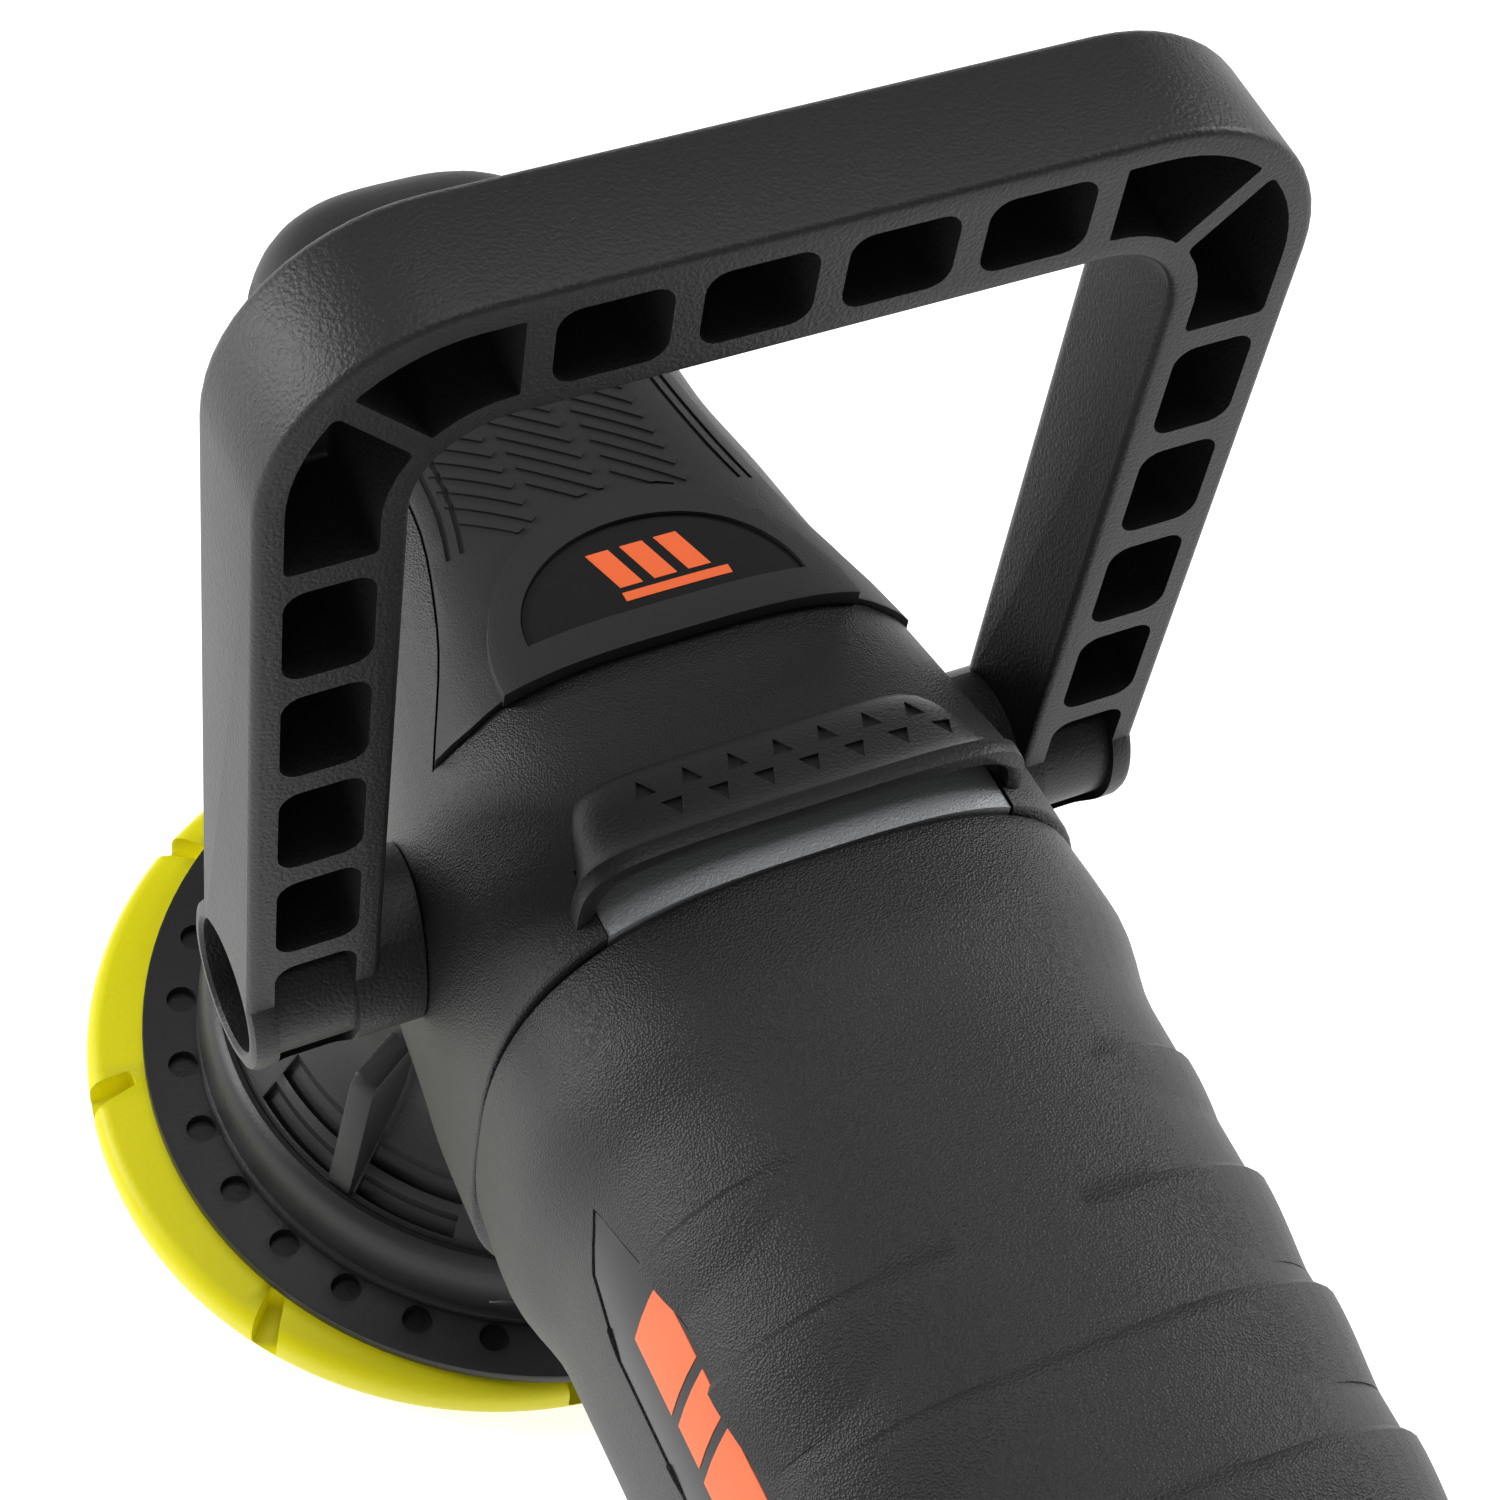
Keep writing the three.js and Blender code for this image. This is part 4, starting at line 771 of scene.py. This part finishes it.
@dataclass
class BowHandle:
    """The bowed front handle with its cells, bosses and bolts."""

    head: Head
    half_width: float = 62.8
    top: float = 223.8
    rear: float = -38.6
    deep: float = 18.0
    bar: float = 17.2
    rim: float = 3.3
    rib: float = 3.3
    diagonal: float = 2.6
    floor: float = 3.6
    corner: float = 24.0
    inner_corner: float = 10.8
    cross_pitch: float = 16.4
    leg_ribs: tuple[float, ...] = (189, 171, 153, 135, 117)
    boss: float = 11.3
    tube: float = 10.1
    seat: float = 52.4
    recess: float = 8.8

    def bow(self) -> Solid:
        """Makes the solid bow with its rounded front and eased rear edges."""
        out, low, turn = self.half_width, self.top - self.corner, self.half_width - self.corner
        inn, under = self.half_width - self.bar, self.top - self.bar
        small = self.inner_corner
        foot = self.head.bolt[1]
        outline = [(out, foot)]
        outline += arc((turn, low), self.corner, 0, 90, 14) + arc((-turn, low), self.corner, 90, 180, 14)
        outline += [(-out, foot), (-inn, foot)]
        outline += arc((small - inn, under - small), small, 180, 90, 10)
        outline += arc((inn - small, under - small), small, 90, 0, 10)
        outline += [(inn, foot)]
        bow = prism(outline, self.rear, self.rear + self.deep, Axis.Y)
        for place, width, steps in ((self.rear + self.deep, 2.5, 5), (self.rear, 1.0, 3)):
            bow.edges(
                lambda a, b, place=place: abs(a.y - place) < 0.01
                and abs(b.y - place) < 0.01
                and max(a.z, b.z) > foot + 0.1
            )
            bpy.ops.mesh.bevel(offset=width, segments=steps, profile=0.5, affect="EDGES")
            deselect()
        return bow

    def pocket(self, outline: Sequence[Point]) -> Solid:
        """Makes the cutter of one cell, with rounded corners."""
        cell = prism(outline, self.rear - self.boss, self.rear + self.deep - self.floor, Axis.Y)
        cell.edges(lambda a, b: abs(a.y - b.y) > 1)
        bpy.ops.mesh.bevel(offset=2.6, segments=5, profile=0.5, affect="EDGES")
        deselect()
        return cell

    def corner_cells(self) -> list[Solid]:
        """Makes the cutters of the right corner's two cells, on both sides of its diagonal rib."""
        rim, out, low = self.rim, self.half_width - self.corner, self.top - self.corner
        inn, under = self.half_width - self.bar - self.inner_corner, self.top - self.bar - self.inner_corner
        left, foot = 2 * self.cross_pitch + self.rib / 2, self.leg_ribs[0] + self.rib / 2
        ring = [(self.half_width - rim, foot), *arc((out, low), self.corner - rim, 0, 90, 14), (left, self.top - rim)]
        ring += [(left, self.top - self.bar + rim), *arc((inn, under), self.inner_corner + rim, 90, 0, 10)]
        ring += [(self.half_width - self.bar + rim, foot)]
        made = []
        for way in (1, -1):
            cell = prism(ring, self.rear - self.boss, self.rear + self.deep - self.floor, Axis.Y)
            shift = way * self.diagonal / 2 / math.sqrt(2)
            cell.halve((out + shift, 0, low - shift), (-way, 0, way))
            made.append(cell.soften(2.2, 4, 50))
        return made

    def cells(self) -> list[Solid]:
        """Makes the cutters of the crossbar's, the corners' and the legs' cells."""
        low, high, half = self.top - self.bar + self.rim, self.top - self.rim, self.rib / 2
        made = []
        for i in (-2, -1, 0, 1):
            left, right = i * self.cross_pitch + half, (i + 1) * self.cross_pitch - half
            made.append(self.pocket([(left, low), (right, low), (right, high), (left, high)]))
        left, right = self.half_width - self.bar + self.rim, self.half_width - self.rim
        pairs = self.corner_cells()
        for upper, lower in zip(self.leg_ribs, (*self.leg_ribs[1:], self.head.bolt[1] - self.boss + 1.6)):
            outline = [(left, lower + half), (right, lower + half), (right, upper - half), (left, upper - half)]
            pairs.append(self.pocket(outline))
        return made + pairs + [cell.mirrored() for cell in pairs]

    def end(self, radius: float, outer: float) -> Solid:
        """Makes the right round end of the leg, out to a place along X."""
        profile = [(0, 31), (radius, 31), (radius, outer - 1.2), (radius - 0.35, outer - 0.35), (radius - 1.2, outer)]
        return turned([*profile, (0, outer)], 96, Axis.X, self.head.bolt)

    def handle(self) -> Solid:
        """Makes the whole handle."""
        bow = self.bow()
        end = self.end(self.boss, self.half_width)
        bow.join(end.mirrored(), end)
        bow.cut(gathered(self.cells()))
        tube = self.end(self.tube, self.half_width - 0.3)
        bow.join(tube.mirrored(), tube)
        recess = turned(
            [(0, self.seat), (self.recess, self.seat), (self.recess, self.half_width - 0.5),
             (self.recess + 1.5, self.half_width + 1), (0, self.half_width + 1)],
            64, Axis.X, self.head.bolt,
        )
        bore = bar(4.3, -LARGE, LARGE, Axis.X, self.head.bolt, 32)
        bow.cut(recess.mirrored(), recess, bore, self.head.casing.skin(0.3))
        return bow.soften(0.4, 2, 55)

    def bolt(self) -> Solid:
        """Makes the right bolt: a domed head with a hexagon socket on a plain shank."""
        y, z = self.head.bolt
        base = self.seat + 1.8
        bolt = turned(
            [(0, 28), (4, 28), (4, base), (6.8, base), (7.2, base + 0.4), (7.2, base + 2.2), (6.7, base + 3.4),
             (5.6, base + 4.4), (4.4, base + 4.8), (0, base + 5)],
            48, Axis.X, (y, z),
        )
        return bolt.cut(bar(3.5, base + 1.5, base + 8, Axis.X, (y, z), 6)).soften(0.2, 2, 40)

    def build(self) -> None:
        """Makes and dresses the handle and its bolts."""
        show(self.handle(), "bow_handle", SATIN, replaced=["d_handle"])
        right = self.bolt()
        show(right.mirrored(), "bolt_left", BLACKENED, replaced=["handle_bolt_left"])
        show(right, "bolt_right", BLACKENED, replaced=["handle_bolt_right"])


@dataclass
class Skirt:
    """The slotted shroud under the head and the flat guard ring."""

    dish: tuple[Point, ...] = (
        (36.6, 60.5), (36.6, 47), (37.3, 43.2), (39, 39.5), (41.5, 35.6), (44, 31.9), (46.5, 28.4), (48.3, 26.0),
        (48.8, 25.2), (49.1, 25.2),
    )
    bead: tuple[Point, ...] = (
        (49.4, 25.6), (50.2, 25.7), (51.1, 25.1), (52.0, 23.7), (52.6, 21.7), (52.9, 19.4), (53, 17), (53, 15.0),
    )
    rim: tuple[Point, ...] = (
        (52.5, 14.6), (52.5, 14.2), (53.2, 13.9), (53.4, 13.5), (53.4, 12.7), (50, 12.7), (46.6, 20), (43.6, 25),
        (36, 36.5), (34.4, 42.5), (34.4, 60.5), (36.6, 60.5),
    )
    first: float = -151.5
    spread: float = 12.5
    slot_rings: tuple[Point, ...] = ((42.7, 45.2), (46.2, 48.4))
    ring: Point = (36.0, 61.5, 10.2, 12.4)
    holes: int = 30
    hole_ring: float = 55.7
    hole: float = 2.3

    def slot(self, inner: float, outer: float, middle: float) -> Solid:
        """Makes the cutter of one curved slot.

        Args:
            inner: Its inner radius.
            outer: Its outer radius.
            middle: The angle of its middle, in degrees.

        Returns:
            The cutter.
        """
        outline = arc((0, 0), outer, middle - 9.5, middle + 9.5, 10)
        outline += arc((0, 0), inner, middle + 9.5, middle - 9.5, 10)
        floor = turned([(r, z - 2.0) for r, z in self.dish[4:9]] + [(49, 10), (40, 10), (self.dish[4][0], self.dish[4][1] - 2.0)])
        return prism(outline, 15, 60).cut(floor)

    def rib(self, angle: float) -> Solid:
        """Makes one upright rib at an angle in degrees."""
        outline = [(35.5, 36), (48.9, 23.5), (49.1, 26.5), (48.2, 31), (45.2, 47.6), (44, 49.4), (35.5, 51.5)]
        return prism(outline, -2.1, 2.1, Axis.Y).soften(0.5, 2, 30).turn(angle)

    def arrow(self) -> Solid:
        """Makes the raised arrow that shows the way of turning."""
        outline = [(5.6, 17.5), (5.6, 18.7), (-3, 18.7), (-3, 20.3), (-8, 18.1), (-3, 15.9), (-3, 17.5)]
        lifted = [(r + 0.35, z + 0.1) for r, z in self.bead]
        raised = turned([*lifted, *reversed([(r - 0.6, z - 0.1) for r, z in self.bead]), lifted[0]])
        return raised.keep(prism(outline, -60, -40, Axis.Y).turn(-23))

    def build(self) -> None:
        """Makes and dresses the shroud and the guard ring."""
        shroud = turned((*self.dish, *self.bead, *self.rim), 120)
        places = [self.first + 120 * i for i in range(3)]
        shroud.cut(gathered(
            self.slot(inner, outer, place + side * self.spread)
            for inner, outer in self.slot_rings for place in places for side in (-1, 1)
        ))
        shroud.join(*[self.rib(place) for place in places], self.arrow())
        show(shroud.soften(0.3, 2, 50), "shroud_shell", SHROUD, replaced=["shroud"])
        inner, outer, low, high = self.ring
        plate = turned([(inner, low), (outer, low), (outer, high), (inner, high), (inner, low)], 120).soften(0.35, 2)
        holes = []
        for i in range(self.holes):
            angle = 2 * math.pi * i / self.holes
            centre = (self.hole_ring * math.cos(angle), self.hole_ring * math.sin(angle))
            holes.append(bar(self.hole, low + 0.4, high + 1, centre=centre, sides=20))
        plate.cut(gathered(holes))
        show(plate, "guard_ring_plate", SHROUD, replaced=["guard_ring"])


@dataclass
class PadPlate:
    """The yellow backing pad and its black hook face."""

    radius: float = 62.5
    centre: Point = (7.5 * math.cos(math.radians(161)), 7.5 * math.sin(math.radians(161)))
    top: float = 9.0
    notches: int = 8
    notch_angle: float = 34.0

    def build(self) -> None:
        """Makes and dresses the pad and its face."""
        edge = self.radius
        pad = turned(
            [(0, 1.5), (edge - 2.2, 1.5), (edge - 0.9, 2.0), (edge - 0.2, 3.0), (edge, 4.2), (edge, 6.4),
             (edge - 0.3, 7.6), (edge - 1.1, 8.5), (edge - 2.3, self.top), (0, self.top)],
            144, centre=self.centre,
        )
        x, y = self.centre
        cutters = []
        for i in range(self.notches):
            notch = prism([(55.6, -1.3), (65, -2.2), (65, 2.6), (55.6, 1.3)], 3.4, 12)
            notch.soften(0.6, 2, 30).turn(18, (59, 0, 0))
            cutters.append(notch.turn(self.notch_angle + 360 / self.notches * i).move(x, y, 0))
        pad.cut(gathered(cutters), bar(7.1, 4.5, 12, centre=self.centre))
        show(pad.soften(0.3, 2, 40), "pad_urethane", YELLOW, "pad", ["backing_pad"])
        face = turned(
            [(0, 0), (edge - 2.9, 0), (edge - 2.5, 0.4), (edge - 2.5, 1.2), (0, 1.2)], 144, centre=self.centre
        )
        show(face, "pad_hooks", HOOKS, "pad", ["hook_face"])


@dataclass
class MotorCasing:
    """The motor housing with its finger ridges, side labels and brush caps."""

    casing: Casing = Casing(
        ((-60.3, 41, 140.5, 55.5), (-72.3, 42, 140.5, 55.5), (-85.3, 39.6, 139, 57), (-150.3, 39.6, 138, 58),
         (-180, 40.6, 138, 58)),
        squareness=2.8,
    )
    wall: float = 3.0
    ridges: tuple[Point, ...] = ((-93.5, 3.05), (-111.0, 3.2), (-127.0, 3.2), (-146.0, 3.1))
    label: tuple[Point, ...] = (
        (-84, 118.5), (-88.6, 111.8), (-98, 107.5), (-166, 107.5), (-166, 123.5), (-104, 123.5), (-94, 121.5),
    )
    brush: Point = (-159.0, MOTOR_Z)

    def ridge(self, y: float, squareness: float) -> Solid:
        """Makes one finger ridge: a squarer section that sinks into the housing to the rear.

        Args:
            y: Where its step stands.
            squareness: How boxy it is; more makes a higher step at the shoulders.

        Returns:
            The upper half of the ridge.
        """
        half = 39.7 if y < -90 else 40
        rows = ((y, half - 0.5, 137.9, 58), (y - 0.8, half, 138.3, 58), (y - 13, half - 1.2, 137, 59.5))
        return Casing(rows, squareness, 2).skin().halve((0, 0, MOTOR_Z + 3), (0, 0, -1))

    def label_area(self, side: int, grow: float) -> Solid:
        """Makes the label's outline as a block from the tool's middle out to one side."""
        middle = Vector((-125, 115.5))
        outline = [(y + math.copysign(grow, y - middle.x), z + math.copysign(grow, z - middle.y)) for y, z in self.label]
        return prism(outline, *((10, 90) if side > 0 else (-90, -10)), Axis.X)

    def housing(self) -> Solid:
        """Makes the housing."""
        shell = self.casing.skin().soften(0.5, 3, 60)
        shell.join(*[self.ridge(y, squareness) for y, squareness in self.ridges])
        shell.cut(self.casing.skin(-self.wall, front=3, rear=-4))
        for side in (-1, 1):
            shell.cut(self.label_area(side, 0.3).cut(self.casing.skin(-1.2)))
        return shell.cut(bar(6.9, -60, 60, Axis.X, self.brush))

    def print_blocks(self, side: int) -> Solid:
        """Makes the row of plain slanted orange blocks for one side's label."""
        widths, y, made = (10.2, 5.6, 10.0, 5.2, 9.6, 8.4), -96.7, []
        for i, wide in enumerate(widths):
            low = 114.5 if i % 2 else 114.1
            outline = [(y, 122.9), (y - 2, low), (y - 2 - wide, low), (y - wide, 122.9)]
            made.append(prism(outline, *((10, 90) if side > 0 else (-90, -10)), Axis.X))
            y -= wide + 1.6
        return self.casing.band(-0.1, -0.5, gathered(made))

    def cap(self) -> Solid:
        """Makes the right brush cap with its screwdriver slot."""
        y, z = self.brush
        cap = turned([(0, 35.4), (6.6, 35.4), (6.6, 39.9), (6.2, 40.4), (5.6, 40.6), (0, 40.6)], 48, Axis.X, (y, z))
        return cap.cut(block((39.6, y - 5, z - 0.8), (44, y + 5, z + 0.8))).soften(0.15, 2, 50)

    def build(self) -> None:
        """Makes and dresses every piece of the motor casing."""
        show(self.housing(), "motor_casing", GRAINED, replaced=["motor_housing"])
        cap = self.cap()
        for side, name, piece in ((-1, "left", cap.mirrored()), (1, "right", cap)):
            plate = self.casing.band(-0.2, -0.9, self.label_area(side, 0))
            show(plate, f"label_{name}", PLATE, replaced=[f"side_label_{name}"])
            show(self.print_blocks(side), f"label_print_{name}", ORANGE)
            show(piece, f"brush_plug_{name}", NYLON, replaced=[f"brush_cap_{name}"])


@dataclass
class Grip:
    """The rear grip's two shells with the trigger, lock button, speed dial and gland."""

    casing: Casing = Casing(
        ((-180.3, 40.2, 137.6, 58.4), (-192.3, 35.6, 133, 63), (-212.3, 30, 127.5, 68.5),
         (-260.3, 29, 126.5, 69.5), (-306, 31, 129, 67), (-326, 32, 130, 66), (-334, 27, 124.5, 71.5)),
        squareness=2.6,
    )
    wall: float = 3.0
    half_gap: float = 0.15
    pivot: Point = (-206.0, 80.0)
    dial: Point = (-198.0, 124.0)
    lock: Point = (-219.0, 102.0)
    screws: tuple[Point, ...] = ((-192, 72), (-268, 116), (-318, 98))

    def shell(self, side: int) -> Solid:
        """Makes one half of the grip, on the left for -1 and on the right for 1."""
        shell = self.casing.skin().soften(1.2, 4, 50)
        shell.halve((side * self.half_gap, 0, MOTOR_Z), (-side, 0, 0)).soften(0.25, 2, 75)
        shell.cut(self.casing.skin(-self.wall, front=3, rear=-self.wall))
        shell.cut(block((-8.7, -261.6, 40), (8.7, -202.7, 84)), block((-4.6, -209.8, MOTOR_Z), (4.6, -186.2, 150)))
        shell.cut(bar(7.3, -338, -329, Axis.Y, (0, MOTOR_Z)))
        if side < 0:
            shell.cut(bar(6.4, -60, -10, Axis.X, self.lock))
        else:
            shell.cut(*[bar(3.5, 20, 60, Axis.X, place, 32) for place in self.screws])
        return shell.cut(self.grooves(side))

    def grooves(self, side: int) -> Solid:
        """Makes the cutters of the shallow slanted grip grooves on one side."""
        made = []
        for i in range(14):
            y = -238 - i * 5.2
            line = [(y, 84), (y - 5, 98), (y, 112)] if i % 2 else [(y, 86), (y - 5, 98), (y, 110)]
            made.append(prism(strip(line, 1.5), *((10, 60) if side > 0 else (-60, -10)), Axis.X))
        return gathered(made).cut(self.casing.skin(-0.6))

    def trigger(self) -> Solid:
        """Makes the trigger lever."""
        profile = [(-203.5, 83), (-210, 83), (-216, 77), (-259, 75), (-260, 68), (-253, 60.5), (-236, 58),
                   (-218, 60.5), (-203.5, 69)]
        lever = prism(profile, -8, 8, Axis.X).soften(2.2, 5, 25)
        for i in range(6):
            lever.cut(bar(0.7, -12, 12, Axis.X, (-224 - i * 4.4, 58.2 + 0.09 * abs(i - 2.6) ** 2), 16))
        return lever

    def speed_dial(self) -> Solid:
        """Makes the knurled thumb wheel on its axle."""
        y, z = self.dial
        outline = []
        for i in range(24):
            for shift, radius in ((0, 11), (5.5, 11), (8, 10.4), (12.5, 10.4)):
                angle = math.radians(15 * i + shift)
                outline.append((y + radius * math.cos(angle), z + radius * math.sin(angle)))
        wheel = prism(outline, -4, 4, Axis.X).soften(0.3, 2, 60)
        return wheel.join(bar(2, -7, 7, Axis.X, self.dial, 24))

    def lock_button(self) -> Solid:
        """Makes the lock button with its dished top."""
        button = turned(
            [(0, -21), (8.2, -21), (8.2, -23.5), (6, -23.5), (6, -31.4), (5.6, -31.9), (5, -32), (3.4, -31.6),
             (0, -31.3)],
            48, Axis.X, self.lock,
        )
        return button

    def gland(self) -> Solid:
        """Makes the ring where the cord would enter."""
        return turned(
            [(4, -344), (8.2, -344), (9, -343.6), (9.4, -342.6), (9.4, -334.3), (7, -334.3), (7, -330.7),
             (9.8, -330.7), (9.8, -328), (4, -328), (4, -344)],
            64, Axis.Y, (0, MOTOR_Z),
        ).soften(0.4, 2, 50)

    def build(self) -> None:
        """Makes and dresses every piece of the grip."""
        for side, name in ((-1, "left"), (1, "right")):
            show(self.shell(side), f"grip_half_{name}", GRAINED, replaced=[f"grip_shell_{name}"])
        show(self.trigger(), "trigger_lever_cap", NYLON, "trigger_lever", ["trigger"])
        show(self.lock_button(), "lock_knob", NYLON, "lock", ["lock_button"])
        show(self.speed_dial(), "dial_wheel", NYLON, "dial", ["speed_dial"])
        show(self.gland(), "cord_ring", SOFT, replaced=["cord_gland"])


@dataclass
class Workings:
    """The pieces that keep their CAD shape: gears, motor, bearings and screws."""

    slots: dict[str, str] = field(
        default_factory=lambda: {part["node"]: part["material_slot"] for part in frame["record"]["subparts"]}
    )

    def dress(self) -> None:
        """Gives every CAD node the finish of its slot."""
        for name, node in frame["nodes"].items():
            node.data.materials.clear()
            node.data.materials.append(SLOT_FINISH[self.slots[name]].material())
        LOG.info("workings: %d nodes dressed", len(self.slots))


@dataclass
class Studio:
    """The pale floor, the soft lights and the camera."""

    place: Point = (-0.14049, -0.24570, 0.46536)
    azimuth: float = -34.52
    elevation: float = 52.98
    roll: float = 11.74
    lens: float = 81.54

    def floor(self) -> None:
        """Lays the floor just under the tool."""
        deselect()
        bpy.ops.mesh.primitive_plane_add(size=12, location=(0, 0, CAD_BOX[0][2] - 0.0004))
        bpy.ops.object.transform_apply()
        floor = bpy.context.object
        floor.name = "floor"
        material = bpy.data.materials.new("white_floor")
        material.use_nodes = True
        shader = material.node_tree.nodes["Principled BSDF"]
        shader.inputs["Base Color"].default_value = (0.82, 0.82, 0.82, 1)
        shader.inputs["Roughness"].default_value = 0.9
        shader.inputs["Specular IOR Level"].default_value = 0.1
        shader.inputs["Emission Color"].default_value = (1, 1, 1, 1)
        shader.inputs["Emission Strength"].default_value = 0.78
        floor.data.materials.append(material)

    def light(self, name: str, place: Point, size: float, power: float) -> None:
        """Hangs one soft light that faces the tool.

        Args:
            name: The light's name.
            place: Where it hangs, in metres.
            size: Its side, in metres.
            power: Its power, in watts.
        """
        lamp = bpy.data.lights.new(name, "AREA")
        lamp.size = size
        lamp.energy = power
        thing = bpy.data.objects.new(name, lamp)
        bpy.context.scene.collection.objects.link(thing)
        thing.location = place
        way = Vector((0, -0.08, 0.08)) - Vector(place)
        thing.rotation_euler = way.to_track_quat("-Z", "Y").to_euler()

    def camera(self) -> None:
        """Sets the camera up."""
        azimuth, elevation, roll = (math.radians(a) for a in (self.azimuth, self.elevation, self.roll))
        back = Vector((
            math.sin(azimuth) * math.cos(elevation), -math.cos(azimuth) * math.cos(elevation), math.sin(elevation)
        ))
        level = Vector((math.cos(azimuth), math.sin(azimuth), 0))
        upward = level.cross(-back)
        right = math.cos(roll) * level + math.sin(roll) * upward
        above = -math.sin(roll) * level + math.cos(roll) * upward
        data = bpy.data.cameras.new("camera")
        data.lens = self.lens
        data.sensor_width = 36
        data.clip_start = 0.01
        thing = bpy.data.objects.new("camera", data)
        bpy.context.scene.collection.objects.link(thing)
        turn = Matrix((right, above, back)).transposed().to_4x4()
        thing.matrix_world = Matrix.Translation(self.place) @ turn
        bpy.context.scene.camera = thing

    def build(self) -> None:
        """Sets the whole studio up."""
        self.floor()
        self.light("key", (-1.2, 0.75, 0.55), 0.5, 15)
        self.light("top", (0.1, 0.2, 1.7), 1.0, 9)
        self.light("right", (1.2, 0.1, 0.75), 0.5, 9)
        self.light("fill", (-0.7, -1.3, 0.7), 1.0, 2)
        world = bpy.data.worlds.new("studio")
        world.use_nodes = True
        world.node_tree.nodes["Background"].inputs["Color"].default_value = (1, 1, 1, 1)
        world.node_tree.nodes["Background"].inputs["Strength"].default_value = 0.2
        bpy.context.scene.world = world
        bpy.context.scene.view_settings.view_transform = "Standard"
        self.camera()


def main() -> None:
    """Builds the looks in order."""
    logging.basicConfig(level=logging.INFO, format="%(message)s")
    head = Head()
    Studio().build()
    Workings().dress()
    for assembly in (head, BowHandle(head), Skirt(), PadPlate(), MotorCasing(), Grip()):
        LOG.info("building %s", type(assembly).__name__)
        assembly.build()
    deselect()


if __name__ == "__main__":
    main()
